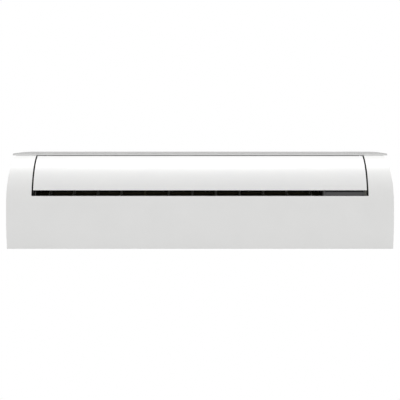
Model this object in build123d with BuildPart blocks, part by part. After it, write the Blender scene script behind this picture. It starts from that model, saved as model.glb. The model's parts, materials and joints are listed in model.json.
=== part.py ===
"""Wall-hung indoor unit of a split air conditioner, in millimetres.

The wall is the plane Y = 0 and the unit stands out from it towards -Y. X runs to the right as seen
from the room and +Z is up. The origin is the middle of the back face of the wall plate.
"""

import os
from math import asin, atan2, cos, degrees, hypot, radians, sin, sqrt

from build123d import *

os.makedirs("parts", exist_ok=True)

# ---------------------------------------------------------------- driving sizes
overall_width = 1000.0
overall_height = 243.0
overall_depth = 210.0

casing_wall = 2.5
wall_gap = 1.0                # the casing stops this far from the wall
foot_recess = 8.0             # how far the lower front edge sits back
foot_height = 90.0            # height over which the lower front curves back
brow_radius = 125.0           # round upper front
brow_cut = 5.5                # the top cover cuts the round this far below its highest point
side_taper = 0.13             # half width lost per mm of depth
rear_corner_radius = 45.0

cover_thickness = 6.0
cover_side_overhang = 9.5
cover_front_overhang = 3.0
cover_edge_round = 1.4
cover_lip_height = 3.0
cover_lip_setback = 26.0
cover_lip_wall = 2.0

fit_gap = 0.3                 # between pieces that are laid against each other
run_gap = 0.05                # radial play of a pin or shaft that turns
cut_room = 20.0               # how far a hollow is carried out through an open side

sill_drop = 99.3              # lower edge of the slot below the top cover
slot_height = 14.1
cheek_width = 69.0            # casing beside each end of the flap
flap_side_gap = 3.0
flap_seam = 2.5               # gap between the flap and the top cover
flap_skin = 3.0
flap_liner_depth = 9.0        # outer face of the panel to inner face of the liner
liner_skin = 2.5
flap_pivot_setback = 12.5     # pivot axis below the outer face of the flap
flap_pivot_drop = 13.0        # pivot axis below the flap's upper edge
flap_pin_radius = 3.0
bush_wall = 2.0
bush_flange = 1.0
bush_flange_lip = 1.5
flap_pin_proud = 3.0          # free end of the left pin beyond its bush
flap_ear_radius = 7.0
flap_ear_width = 4.0
cheek_wall_depth = 27.0

flap_pin_grip = 10.0          # pin inside the flap motor
flap_seat = 0.1               # between the panel and its liner
liner_ribs = 9
flap_motor_radius = 14.0
flap_motor_length = 19.0
flap_motor_drop = 8.0         # motor axis nearer to the middle of the round upper front than its shaft

screw_radius = 1.5
screw_head_radius = 3.2
screw_head_depth = 1.6
screw_length = 9.0
screw_inset_left = 48.0       # outer screws from the ends of the chassis
screw_inset_right = 60.0
pipe_passage_width = 62.0
pipe_passage_depth = 84.0
pipe_passage_height = 40.0

back_gap = 4.0                # back of the chassis to the wall
flange_depth = 20.0
chassis_wall = 2.5
duct_inset = 3.0              # left end plate inside the end of the flap
receiver_bay = 110.5          # right end plate inside the end of the flap
chassis_side_reach = 9.0      # chassis beyond the right end of the flap
duct_front_gap = 13.0         # between the front of the end plates and the flap's outer face
ear_room = 16.0               # round the flap's pivot
end_plate_land = 4.0          # end plate above the scroll
pan_room = 2.0                # between the end plates' front edges and the drain pan

fan_rear_room = 29.5          # fan to the back of the chassis
fan_front_room = 6.0          # fan to the vanes
fan_drop = 69.5               # fan axis below the top cover
fan_blades = 30
fan_blade_depth = 10.0
fan_blade_thickness = 1.2
fan_blade_angle = 28.0
fan_sections = 5
fan_disc_thickness = 3.0
fan_end_gap = 14.0            # end discs to the end plates
shaft_radius = 4.0
bush_thickness = 5.0
bush_length = 6.0
hub_length = 8.0
hub_radius = 9.0
holder_flange = 2.5
holder_wall = 6.0
shaft_hole_radius = 14.0
scroll_room = 10.0            # scroll round the fan
scroll_shift_y = 4.0          # middle of the scroll ahead of the fan axis
scroll_shift_z = 2.0          # and below it
scroll_start = 215.0          # angle up from the front, over the top, where the scroll begins
scroll_wall = 2.5

motor_radius = 36.0
motor_length = 60.0
motor_strap = 4.0
motor_strap_width = 30.0
motor_leg_height = 40.0
motor_edge = 3.0
motor_shaft_grip = 16.0

floor_thickness = 2.5
floor_drop = 2.7              # the duct floor below the sill of the slot
tongue_lift = 6.0
tongue_gap = 6.0
duct_foot_inset = 30.0
post_thickness = 3.0
post_reach = 16.0
post_height = 62.0
foot_width = 12.0

first_vane_inset = 33.0       # from the left wall of the duct
last_vane_inset = 27.4        # from the right wall of the duct
left_vanes = 4
right_vanes = 7
vane_pivot_behind = 64.0      # pivot line behind the front plane
vane_thickness = 1.6
vane_pin_radius = 2.5
vane_play = 0.5               # vane above the floor
vane_pin_proud = 1.5          # vane pin below the floor
vane_motor_grip = 6.0         # vane pin inside a vane motor
vane_motor_edge = 1.5
pin_end_room = 1.0            # bore beyond the end of a pin
link_pin_radius = 1.5
link_reach = 14.0             # link pin behind the pivot line
link_width = 10.0
link_thickness = 3.0
link_height = 19.5            # middle of the link bar above the duct floor
link_play = 2.0
link_slot_length = 3.8
link_hole_play = 0.2          # the bar moves straight, its pins on arcs
vane_tail = 20.0
vane_toe = 44.0
vane_toe_height = 3.0
vane_brow = 12.0
vane_sweep_height = 20.0
vane_height = 66.0
vane_crown_drop = 12.0
vane_crown_back = 8.0
vane_hub_radius = 3.5
vane_hub_height = 12.0
vane_motor_radius = 10.0
vane_motor_height = 16.0

filter_end_gap = 6.0          # filters inside the outer faces of the end plates
filter_split = 14.0           # between the two filters
slot_play = 1.0
slot_inside = 30.0            # cut for the filters, up and down from their lower edges
slot_outside = 20.0
filter_rear_gap = 28.0        # upper end of the filters to the wall
filter_rear_height = 64.5     # and above the bottom edge
filter_front_gap = 31.4       # lower end of the filters to the front plane
filter_front_height = 2.1     # and above the bottom edge
filter_thickness = 4.0
filter_border = 8.0
filter_rib = 3.0
filter_bays = 6
mesh_thickness = 0.8
mesh_margin = 2.0
guide_play = 0.3
guide_short = 15.0            # the guides end this far above the lower ends of the filters
guide_lip = 2.2
guide_grip = 7.0

coil_rear_gap = 30.0          # upper end of the coil to the wall
coil_scroll_gap = 16.7        # upper end of the coil below the end of the scroll
coil_front_gap = 32.2         # lower end of the coil to the front plane
coil_front_rise = 30.8        # lower end of the coil above the underside of the drain pan
coil_depth = 24.0
coil_left_inset = 23.5        # fins inside the left wall of the duct
coil_right_inset = 26.0       # fins inside the right wall of the duct
coil_plate = 1.0
coil_plate_margin = 2.0
tube_radius = 3.5
tube_rows = 6
row_pitch = 12.7
tube_first = 14.0             # outer tubes from the ends of the coil
coil_foot = 9.0
pipe_bend_radius = 14.0
pipe_height = 17.5
liquid_end_y = -26.0
union_hex_length = 10.0
union_length = 14.0           # threaded end that the connecting nut is screwed onto
union_wall = 2.4

liquid_radius = 3.175
liquid_union_radius = 5.56
liquid_hex_radius = 7.5
gas_radius = 4.76
gas_union_radius = 7.94
gas_hex_radius = 10.5
pipe_end_inset = 45.0         # pipe ends inside the right side's front edge

pan_rear_behind = 64.0
pan_front_behind = 8.0
pan_bottom_height = 25.5
pan_height = 16.0
pan_wall = 2.0
drain_bore = 6.0
drain_radius = 7.5
drain_end_radius = 8.0
drain_end_length = 25.0
drain_collar_radius = 10.0
drain_collar_width = 3.0
drain_bend_radius = 10.0
drain_drop = 14.5             # first corner of the drain pipe beyond the end plate
drain_end_y = -68.0
drain_end_height = 14.5       # end of the drain pipe above the bottom edge

grille_rear_gap = 30.0        # rear edge of the grille to the wall
grille_front_behind = 50.0
grille_left_inset = 10.0      # grille inside the outer faces of the end plates
grille_right_inset = 12.5
grille_thickness = 4.0
grille_gap = 2.0
grille_pin_radius = 2.0
grille_pin_inset = 4.0        # pins ahead of the grille's rear edge
grille_pin_lift = 0.5
grille_boss = 8.0
grille_boss_width = 5.0
louvre_columns = 6
louvre_rows = 10
louvre_slot = 6.0
louvre_bridge = 14.0

plate_width = 800.0
plate_height = 170.0
plate_thickness = 1.6
plate_windows = 6
plate_window_width = 80.0
plate_window_height = 70.0
plate_window_pitch = 105.0
plate_hole_radius = 2.75
plate_hole_spacing_x = 700.0
plate_hole_spacing_z = 120.0
hook_width = 24.0
hook_lip = 8.0
hook_spacing = 560.0

box_width = 90.0
box_rear = -60.0
box_front = -150.0
box_bottom_height = 26.5
box_top_height = 101.5
box_wall = 2.0
leg_width = 12.0
leg_height = 6.0
post_size = 6.0
post_inset = 12.0
post_low = 24.0
board_setback = 10.0
board_thickness = 1.6
board_margin = 6.0
board_low = 16.0
# place from the box's lower left corner, and width, depth and height
board_parts = [
    (22.0, 52.0, (24.0, 30.0, 20.0)),
    (56.0, 56.0, (30.0, 24.0, 14.0)),
    (76.0, 34.0, (12.0, 16.0, 18.0)),
]
terminal_low = 18.0           # terminal block above the floor of the box
terminal_pitch = 9.0
terminal_ways = 5
terminal_depth = 14.0
terminal_height = 18.0
terminal_rib = 2.0
terminal_mouth = 3.0
lid_lip = 3.0
gland_inset = 25.0            # gland from the right side of the box
gland_behind = 40.0           # gland behind the open side of the box
gland_radius = 9.0
gland_neck = 6.5
gland_bore = 4.5
gland_length = 8.0
cable_hole_radius = 7.0       # in the casing, below the gland

receiver_rear_behind = 89.0
receiver_wall = 2.5
receiver_side_gap = 1.0       # between the receiver cover and the flap's end return
window_inset = 4.0
window_low = 1.5              # window above the duct floor
window_height = 16.0
window_thickness = 2.0
button_inset = 23.0           # button from the right side of the receiver cover
button_drop = 55.5            # button below the top cover
button_radius = 4.0
button_play = 0.2
button_travel = 1.5
button_length = 24.0
button_stop = 2.0
button_proud = 0.6
button_edge = 0.6

# ---------------------------------------------------------------- derived places
bottom_z = -overall_height / 2
top_z = overall_height / 2
cover_z = top_z - cover_thickness
front_y = -overall_depth
brow_y = front_y + brow_radius
brow_z = cover_z - brow_radius + brow_cut
foot_top_z = bottom_z + foot_height
foot_radius = (foot_height**2 + foot_recess**2) / (2 * foot_recess)
sill_z = cover_z - sill_drop
flap_edge_z = sill_z + slot_height
flap_top_z = cover_z - flap_seam
flap_half_width = overall_width / 2 - cheek_width
opening_half = flap_half_width + flap_side_gap
duct_left = -flap_half_width + duct_inset
duct_right = flap_half_width - receiver_bay
chassis_right = flap_half_width + chassis_side_reach
back_y = -back_gap
back_face_y = back_y - chassis_wall
floor_z = sill_z - floor_drop
vane_y = front_y + vane_pivot_behind
fan_front_y = vane_y + vane_tail + fan_front_room
fan_rear_y = back_face_y - fan_rear_room
fan_radius = (fan_rear_y - fan_front_y) / 2
fan_y = (fan_rear_y + fan_front_y) / 2
fan_z = cover_z - fan_drop
scroll_y = fan_y - scroll_shift_y
scroll_z = fan_z - scroll_shift_z
scroll_radius = fan_radius + scroll_room
pivot_z = flap_top_z - flap_pivot_drop
pivot_y = brow_y - sqrt((brow_radius - flap_pivot_setback) ** 2 - (pivot_z - brow_z) ** 2)
cover_front_y = brow_y - sqrt(brow_radius**2 - (cover_z - brow_z) ** 2) - cover_front_overhang
inner_left = duct_left + chassis_wall
inner_right = duct_right - chassis_wall
coil_left = inner_left + coil_left_inset
coil_right = inner_right - coil_right_inset
grille_left = duct_left + grille_left_inset
grille_right = duct_right - grille_right_inset
box_left = chassis_right - box_width
box_right = chassis_right
pipe_end = overall_width / 2 - pipe_end_inset
pan_bottom_z = bottom_z + pan_bottom_height
scroll_end_z = scroll_z + (scroll_radius + scroll_wall) * sin(radians(scroll_start))
tube_offs = (row_pitch / 2, -row_pitch / 2)
pipe_hole_radius = gas_radius + 2.0
bush_radius = flap_pin_radius + run_gap + bush_wall
grille_y = (front_y + grille_front_behind, -grille_rear_gap)
grille_pin_y = grille_y[1] - grille_pin_inset
grille_pin_z = bottom_z + grille_thickness / 2 + grille_pin_lift
cover_lip_front_y = cover_front_y + cover_lip_setback
cover_lip_rear_y = -back_gap - rear_corner_radius
pipe_passage_left = overall_width / 2 - side_taper * overall_depth - pipe_passage_width
pipe_passage_front = -pipe_passage_depth
pipe_passage_top = bottom_z + pipe_passage_height
screw_y = -flange_depth + 8.0
chassis_bottom_z = bottom_z + casing_wall
chassis_top_z = cover_z - fit_gap
flange_front_y = -back_gap - flange_depth
hook_front_y = back_face_y - plate_thickness - fit_gap
hook_z = plate_height / 2 - hook_lip
holder_radius = shaft_radius + run_gap + bush_thickness + holder_wall
pan_front_y = front_y + pan_front_behind
pan_rear_y = front_y + pan_rear_behind
drain_y = front_y + (pan_front_behind + pan_rear_behind) / 2
drain_z = pan_bottom_z + pan_height / 2
gland_x = box_right - gland_inset
gland_y = box_front + gland_behind
board_y = box_rear - box_wall - board_setback
receiver_rear_y = front_y + receiver_rear_behind
button_z = cover_z - button_drop
duct_foot_front_y = front_y + pan_front_behind


# ---------------------------------------------------------------- shared shapes
def block(x_range, y_range, z_range, mode=Mode.ADD):
    """An upright block between pairs of X, Y and Z."""
    sizes = [abs(high - low) for low, high in (x_range, y_range, z_range)]
    middle = [(high + low) / 2 for low, high in (x_range, y_range, z_range)]
    with Locations(tuple(middle)):
        Box(*sizes, mode=mode)


def rod_x(x_range, y, z, radius, mode=Mode.ADD):
    """A round bar along X."""
    with BuildSketch(Plane.YZ.offset(x_range[0])) as disc:
        with Locations((y, z)):
            Circle(radius)
    extrude(disc.sketch, amount=x_range[1] - x_range[0], mode=mode)


def rod_z(x, y, z_range, radius, mode=Mode.ADD):
    """A round bar along Z."""
    with BuildSketch(Plane.XY.offset(z_range[0])) as disc:
        with Locations((x, y)):
            Circle(radius)
    extrude(disc.sketch, amount=z_range[1] - z_range[0], mode=mode)


def side_shape(points, x_range, mode=Mode.ADD):
    """A polygon of (Y, Z) points carried along X."""
    with BuildSketch(Plane.YZ.offset(x_range[0])) as outline:
        with BuildLine():
            Polyline(*points, close=True)
        make_face()
    extrude(outline.sketch, amount=x_range[1] - x_range[0], mode=mode)


def leaning_line(rear, front):
    """A line that falls from a rear (Y, Z) to a front one: its start, its lean and its length."""
    back, fall = rear[0] - front[0], rear[1] - front[1]
    return (rear, atan2(fall, back), hypot(back, fall))


def on_slope(line, along, off):
    """(Y, Z) of a point on a leaning line, off above it."""
    (start_y, start_z), lean, _ = line
    y = start_y - along * cos(lean) - off * sin(lean)
    z = start_z - along * sin(lean) + off * cos(lean)
    return (y, z)


def slope_slab(x_range, line, along_range, off_range, mode=Mode.ADD):
    """A flat slab that leans with the coil or the filters."""
    near, far = along_range
    low, high = off_range
    corners = [(near, low), (far, low), (far, high), (near, high)]
    side_shape([on_slope(line, along, off) for along, off in corners], x_range, mode)


def brow_point(radius, angle):
    """(Y, Z) on a circle about the middle of the round upper front, angle up from the front."""
    return (brow_y - radius * cos(radians(angle)), brow_z + radius * sin(radians(angle)))


def brow_angle(radius, height_z):
    """Angle at which a circle about the same middle reaches a height."""
    return degrees(asin((height_z - brow_z) / radius))


def brow_shell(x_range, inner_radius, outer_radius, low_angle, high_angle, mode=Mode.ADD):
    """A sector of a ring about the middle of the round upper front, carried along X."""
    middle_angle = (low_angle + high_angle) / 2
    with BuildSketch(Plane.YZ.offset(x_range[0])) as ring:
        with BuildLine():
            outer = ThreePointArc(
                brow_point(outer_radius, low_angle),
                brow_point(outer_radius, middle_angle),
                brow_point(outer_radius, high_angle),
            )
            inner = ThreePointArc(
                brow_point(inner_radius, low_angle),
                brow_point(inner_radius, middle_angle),
                brow_point(inner_radius, high_angle),
            )
            Line(outer @ 0, inner @ 0)
            Line(outer @ 1, inner @ 1)
        make_face()
    extrude(ring.sketch, amount=x_range[1] - x_range[0], mode=mode)


def body_section(inset, open_back, open_top):
    """Side outline of the casing, drawn smaller by inset, and carried past the back and the top."""
    end_angle = brow_angle(brow_radius, cover_z)
    foot_middle = asin(foot_height / foot_radius) / 2
    foot_middle_point = (
        front_y + foot_radius * (1 - cos(foot_middle)),
        foot_top_z - foot_radius * sin(foot_middle),
    )
    with BuildSketch(Plane.YZ) as section:
        with BuildLine():
            brow_end = brow_point(brow_radius, end_angle)
            foot_end = (front_y + foot_recess, bottom_z)
            Line((0, bottom_z), foot_end)
            ThreePointArc(foot_end, foot_middle_point, (front_y, foot_top_z))
            Line((front_y, foot_top_z), (front_y, brow_z))
            ThreePointArc((front_y, brow_z), brow_point(brow_radius, end_angle / 2), brow_end)
            Line(brow_end, (0, cover_z))
            Line((0, cover_z), (0, bottom_z))
        make_face()
        if inset:
            offset(amount=-inset, kind=Kind.INTERSECTION)
        if open_back:
            with Locations((-inset, bottom_z + inset)):
                Rectangle(
                    open_back + inset,
                    cover_z - bottom_z - 2 * inset,
                    align=(Align.MIN, Align.MIN),
                )
        if open_top:
            top_front = brow_point(brow_radius - inset, brow_angle(brow_radius - inset, cover_z - inset))
            with Locations((top_front[0], cover_z - inset)):
                Rectangle(open_back - top_front[0], inset + open_top, align=(Align.MIN, Align.MIN))
    return section


def plan_outline(inset, plane_z, reach_back=0.0):
    """Plan of the casing: wide in front, tapering to the wall, with round rear corners."""
    rear_half = overall_width / 2 - side_taper * overall_depth
    with BuildSketch(Plane.XY.offset(plane_z)) as outline:
        with BuildLine():
            Polyline(
                (-overall_width / 2, front_y),
                (overall_width / 2, front_y),
                (rear_half, 0),
                (-rear_half, 0),
                close=True,
            )
        make_face()
        fillet(outline.vertices().group_by(Axis.Y)[-1], rear_corner_radius)
        if inset:
            offset(amount=-inset, kind=Kind.INTERSECTION)
        if reach_back:
            flat_half = max(vertex.X for vertex in outline.vertices().group_by(Axis.Y)[-1])
            with Locations((0, -inset)):
                Rectangle(2 * flat_half, reach_back, align=(Align.CENTER, Align.MIN))
    return outline


def finish_piece(piece, label):
    """Name a finished piece and write it to its own file."""
    piece.part.label = label
    export_step(piece.part, f"parts/{label}.step")


def tube_place(row, off):
    """(Y, Z) of one coil tube."""
    return on_slope(coil_line, tube_first + tube_pitch * row, off)


coil_line = leaning_line(
    (-coil_rear_gap, scroll_end_z - coil_scroll_gap),
    (front_y + coil_front_gap, pan_bottom_z + coil_front_rise),
)
coil_length = coil_line[2]
tube_pitch = (coil_length - 2 * tube_first) / (tube_rows - 1)
filter_line = leaning_line(
    (-filter_rear_gap, bottom_z + filter_rear_height),
    (front_y + filter_front_gap, bottom_z + filter_front_height),
)
filter_length = filter_line[2]
guide_length = filter_length - guide_short
gas_start = tube_place(0, tube_offs[0])
liquid_start = tube_place(tube_rows - 1, tube_offs[1])

# ---------------------------------------------------------------- front casing
cheek_low = brow_angle(brow_radius, sill_z)
cheek_high = brow_angle(brow_radius, cover_z)
cheek_walls = ((-opening_half - casing_wall, -opening_half), (opening_half, opening_half + casing_wall))
filter_middle = (duct_left + duct_right) / 2
filter_spans = (
    (duct_left + filter_end_gap, filter_middle - filter_split / 2),
    (filter_middle + filter_split / 2, duct_right - filter_end_gap),
)
screw_places = [
    (x, screw_y) for x in (duct_left + screw_inset_left, 0.0, chassis_right - screw_inset_right)
]

# the hollow, carried out through the back
with BuildPart() as casing_cavity:
    inner_section = body_section(casing_wall, cut_room, cut_room)
    extrude(inner_section.sketch, amount=overall_width / 2, both=True)
    inner_outline = plan_outline(casing_wall, bottom_z, cut_room)
    extrude(inner_outline.sketch, amount=overall_height, mode=Mode.INTERSECT)

with BuildPart() as front_casing:
    section = body_section(0, 0, 0)
    extrude(section.sketch, amount=overall_width / 2, both=True)
    outline = plan_outline(0, bottom_z)
    extrude(outline.sketch, amount=overall_height, mode=Mode.INTERSECT)
    add(casing_cavity.part, mode=Mode.SUBTRACT)
    # mouth for the flap and the slot, between the cheeks
    block((-opening_half, opening_half), (front_y - 1, 0), (sill_z, top_z), Mode.SUBTRACT)
    # inner walls of the cheeks, which hold the flap's bushes
    for span in cheek_walls:
        brow_shell(span, brow_radius - cheek_wall_depth, brow_radius - casing_wall / 2, cheek_low, cheek_high)
        rod_x(span, pivot_y, pivot_z, bush_radius, Mode.SUBTRACT)
    # the back stops short of the wall
    block((-overall_width, overall_width), (-wall_gap, 1), (bottom_z - 1, top_z), Mode.SUBTRACT)
    # intake mouth in the underside
    block(
        (grille_left - grille_gap, grille_right + grille_gap),
        (grille_y[0] - grille_gap, grille_y[1] + grille_gap),
        (bottom_z - 1, bottom_z + casing_wall + 1),
        Mode.SUBTRACT,
    )
    # hinge bosses of the intake grille
    for x_range in (
        (grille_left - grille_gap - grille_boss_width, grille_left - grille_gap),
        (grille_right + grille_gap, grille_right + grille_gap + grille_boss_width),
    ):
        block(
            x_range,
            (grille_pin_y - grille_boss / 2, grille_pin_y + grille_boss / 2),
            (bottom_z + casing_wall, grille_pin_z + grille_boss / 2),
        )
        rod_x(x_range, grille_pin_y, grille_pin_z, grille_pin_radius + run_gap, Mode.SUBTRACT)
    # slots that the filters are drawn through
    for span in filter_spans:
        slope_slab(
            (span[0] - slot_play, span[1] + slot_play),
            filter_line,
            (filter_length - slot_inside, filter_length + slot_outside),
            (-filter_thickness / 2 - slot_play, filter_thickness / 2 + slot_play),
            Mode.SUBTRACT,
        )
    # pipe passage in the rear right corner
    block(
        (pipe_passage_left, overall_width / 2),
        (pipe_passage_front, 1),
        (bottom_z - 1, pipe_passage_top),
        Mode.SUBTRACT,
    )
    # hole that the supply cable comes through
    rod_z(gland_x, gland_y, (bottom_z - 1, bottom_z + casing_wall + 1), cable_hole_radius, Mode.SUBTRACT)
    # countersunk holes for the screws into the chassis
    for x, y in screw_places:
        rod_z(x, y, (bottom_z - 1, bottom_z + casing_wall + 1), screw_radius + fit_gap, Mode.SUBTRACT)
        with Locations((x, y, bottom_z + screw_head_depth / 2)):
            Cone(
                screw_head_radius + fit_gap,
                screw_radius + fit_gap,
                screw_head_depth,
                mode=Mode.SUBTRACT,
            )
finish_piece(front_casing, "front_casing")

with BuildPart() as casing_screws:
    for x, y in screw_places:
        rod_z(x, y, (bottom_z, bottom_z + screw_length), screw_radius)
        with Locations((x, y, bottom_z + screw_head_depth / 2)):
            Cone(screw_head_radius, screw_radius, screw_head_depth)
finish_piece(casing_screws, "casing_screws")

# ---------------------------------------------------------------- top cover
# locating lip inside the casing
with BuildPart() as cover_lip:
    lip = plan_outline(casing_wall + fit_gap, cover_z - cover_lip_height)
    extrude(lip.sketch, amount=cover_lip_height)
    core = plan_outline(casing_wall + fit_gap + cover_lip_wall, cover_z - cover_lip_height)
    extrude(core.sketch, amount=cover_lip_height, mode=Mode.SUBTRACT)
    block(
        (-overall_width, overall_width),
        (cover_lip_front_y, cover_lip_rear_y),
        (cover_z - cover_lip_height, cover_z),
        Mode.INTERSECT,
    )

with BuildPart() as top_cover:
    outline = plan_outline(-cover_side_overhang, cover_z)
    extrude(outline.sketch, amount=cover_thickness)
    block(
        (-overall_width, overall_width),
        (cover_front_y, -wall_gap),
        (cover_z, top_z),
        Mode.INTERSECT,
    )
    fillet(top_cover.faces().sort_by(Axis.Z)[-1].edges(), cover_edge_round)
    add(cover_lip.part)
finish_piece(top_cover, "top_cover")

# ---------------------------------------------------------------- wall plate
with BuildPart() as wall_plate:
    block((-plate_width / 2, plate_width / 2), (-plate_thickness, 0), (-plate_height / 2, plate_height / 2))
    # windows for the pipe sleeve, with a bar between each two
    with GridLocations(plate_window_pitch, 1, plate_windows, 1):
        Box(plate_window_width, 4 * plate_thickness, plate_window_height, mode=Mode.SUBTRACT)
    with Locations(Plane.XZ):
        with GridLocations(plate_hole_spacing_x, plate_hole_spacing_z, 2, 2):
            Hole(plate_hole_radius)
    # hooks that carry the chassis
    for x in (-hook_spacing / 2, hook_spacing / 2):
        hook_range = (x - hook_width / 2, x + hook_width / 2)
        block(hook_range, (hook_front_y, -plate_thickness), (hook_z, hook_z + plate_thickness))
        block(
            hook_range,
            (hook_front_y, hook_front_y + plate_thickness),
            (hook_z, hook_z + hook_lip),
        )
finish_piece(wall_plate, "wall_plate")

# ---------------------------------------------------------------- rear chassis
ceiling_front_y = pivot_y + ear_room
ceiling_z = scroll_z + scroll_radius
end_plate_top_z = ceiling_z + scroll_wall + end_plate_land


def scroll_point(radius, angle):
    """(Y, Z) about the middle of the scroll, angle up from the front, over the top to the rear."""
    return (scroll_y - radius * cos(radians(angle)), scroll_z + radius * sin(radians(angle)))


end_plate_arc = brow_radius - duct_front_gap
end_plate_top_angle = brow_angle(end_plate_arc, pivot_z - ear_room)
end_plate_points = [
    (back_face_y, bottom_z + casing_wall),
    (pan_rear_y - 2 * pan_room, bottom_z + casing_wall),
    (pan_rear_y - 2 * pan_room, pan_bottom_z - pan_room),
    (pan_front_y + pan_room, pan_bottom_z - pan_room),
    (pan_front_y + pan_room, floor_z),
]
end_plates = ((duct_left, inner_left), (inner_right, duct_right))

with BuildPart() as rear_chassis:
    block((duct_left, chassis_right), (back_face_y, back_y), (chassis_bottom_z, chassis_top_z))
    block((duct_left, chassis_right), (flange_front_y, back_y), (chassis_bottom_z, chassis_bottom_z + chassis_wall))
    for span in end_plates:
        with BuildSketch(Plane.YZ.offset(span[0])) as plate_outline:
            with BuildLine():
                rise = ThreePointArc(
                    brow_point(end_plate_arc, brow_angle(end_plate_arc, floor_z)),
                    brow_point(end_plate_arc, end_plate_top_angle / 2),
                    brow_point(end_plate_arc, end_plate_top_angle),
                )
                Polyline(
                    rise @ 1,
                    (ceiling_front_y, pivot_z - ear_room),
                    (ceiling_front_y, end_plate_top_z),
                    (back_face_y, end_plate_top_z),
                    *end_plate_points,
                    rise @ 0,
                )
            make_face()
        extrude(plate_outline.sketch, amount=span[1] - span[0])
    # scroll round the fan and the ceiling of the outlet
    with BuildSketch(Plane.YZ.offset(duct_left)) as scroll:
        with BuildLine():
            middle_angle = (90 + scroll_start) / 2
            outer = ThreePointArc(
                scroll_point(scroll_radius + scroll_wall, 90),
                scroll_point(scroll_radius + scroll_wall, middle_angle),
                scroll_point(scroll_radius + scroll_wall, scroll_start),
            )
            inner = ThreePointArc(
                scroll_point(scroll_radius, 90),
                scroll_point(scroll_radius, middle_angle),
                scroll_point(scroll_radius, scroll_start),
            )
            Line(outer @ 1, inner @ 1)
            Polyline(
                outer @ 0,
                (ceiling_front_y, ceiling_z + scroll_wall),
                (ceiling_front_y, ceiling_z),
                inner @ 0,
            )
        make_face()
    extrude(scroll.sketch, amount=duct_right - duct_left)
    # seat of the bush holder, holes of the motor shaft, the drain pipe and the other pipes
    rod_x(end_plates[0], fan_y, fan_z, holder_radius + run_gap, Mode.SUBTRACT)
    rod_x(end_plates[1], fan_y, fan_z, shaft_hole_radius, Mode.SUBTRACT)
    rod_x(end_plates[1], drain_y, drain_z, drain_radius + fit_gap, Mode.SUBTRACT)
    for place in (gas_start, liquid_start):
        rod_x(end_plates[1], place[0], place[1], pipe_hole_radius, Mode.SUBTRACT)
    # windows for the hooks
    for x in (-hook_spacing / 2, hook_spacing / 2):
        block(
            (x - hook_width / 2 - fit_gap, x + hook_width / 2 + fit_gap),
            (back_face_y - 1, back_y + 1),
            (hook_z - fit_gap, hook_z + hook_lip + fit_gap),
            Mode.SUBTRACT,
        )
    # screw holes in the lower flange
    for x, y in screw_places:
        rod_z(
            x,
            y,
            (chassis_bottom_z - 1, chassis_bottom_z + chassis_wall + 1),
            screw_radius + run_gap,
            Mode.SUBTRACT,
        )
finish_piece(rear_chassis, "rear_chassis")

# ---------------------------------------------------------------- fan
rotor_left = inner_left + fan_end_gap
rotor_right = inner_right - fan_end_gap
motor_left = duct_right + fit_gap

with BuildPart() as fan_rotor:
    with BuildSketch(Plane.YZ.offset(rotor_left)) as blades:
        with Locations((fan_y, fan_z)):
            with PolarLocations(fan_radius - fan_blade_depth / 2 - 0.5, fan_blades):
                Rectangle(fan_blade_depth, fan_blade_thickness, rotation=fan_blade_angle)
    extrude(blades.sketch, amount=rotor_right - rotor_left)
    disc_step = (rotor_right - rotor_left - fan_disc_thickness) / fan_sections
    for index in range(fan_sections + 1):
        disc_left = rotor_left + disc_step * index
        disc_range = (disc_left, disc_left + fan_disc_thickness)
        rod_x(disc_range, fan_y, fan_z, fan_radius)
        if 0 < index < fan_sections:
            rod_x(disc_range, fan_y, fan_z, fan_radius - fan_blade_depth - 1, Mode.SUBTRACT)
    rod_x((rotor_right - hub_length, rotor_right), fan_y, fan_z, hub_radius)
    rod_x((rotor_right - hub_length, rotor_right), fan_y, fan_z, shaft_radius, Mode.SUBTRACT)
    rod_x((rotor_left, rotor_left + hub_length), fan_y, fan_z, hub_radius)
    rod_x((rotor_left, rotor_left + hub_length), fan_y, fan_z, shaft_radius, Mode.SUBTRACT)
finish_piece(fan_rotor, "fan_rotor")

with BuildPart() as fan_stub_shaft:
    rod_x((duct_left - 1, rotor_left + hub_length), fan_y, fan_z, shaft_radius)
    chamfer(fan_stub_shaft.edges().group_by(Axis.X)[0], 0.6)
finish_piece(fan_stub_shaft, "fan_stub_shaft")

with BuildPart() as motor_shaft:
    rod_x((rotor_right - hub_length, motor_left + motor_shaft_grip), fan_y, fan_z, shaft_radius)
finish_piece(motor_shaft, "motor_shaft")

with BuildPart() as fan_bush:
    rod_x((duct_left, duct_left + bush_length), fan_y, fan_z, shaft_radius + run_gap + bush_thickness)
    rod_x((duct_left, duct_left + bush_length), fan_y, fan_z, shaft_radius + run_gap, Mode.SUBTRACT)
finish_piece(fan_bush, "fan_bush")

with BuildPart() as bush_holder:
    rod_x((duct_left, duct_left + bush_length), fan_y, fan_z, holder_radius)
    rod_x((inner_left, duct_left + bush_length), fan_y, fan_z, holder_radius + holder_flange)
    rod_x((duct_left, duct_left + bush_length), fan_y, fan_z, holder_radius - holder_wall, Mode.SUBTRACT)
finish_piece(bush_holder, "bush_holder")

with BuildPart() as fan_motor:
    rod_x((motor_left, motor_left + motor_length), fan_y, fan_z, motor_radius)
    fillet(fan_motor.edges().filter_by(GeomType.CIRCLE), motor_edge)
    rod_x((motor_left, motor_left + motor_shaft_grip), fan_y, fan_z, shaft_radius + run_gap, Mode.SUBTRACT)
finish_piece(fan_motor, "fan_motor")

strap_left = motor_left + (motor_length - motor_strap_width) / 2
strap_range = (strap_left, strap_left + motor_strap_width)
with BuildPart() as motor_bracket:
    rod_x(strap_range, fan_y, fan_z, motor_radius + motor_strap)
    block(strap_range, (fan_y, back_face_y), (fan_z - motor_leg_height / 2, fan_z + motor_leg_height / 2))
    rod_x(strap_range, fan_y, fan_z, motor_radius, Mode.SUBTRACT)
finish_piece(motor_bracket, "motor_bracket")

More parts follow.
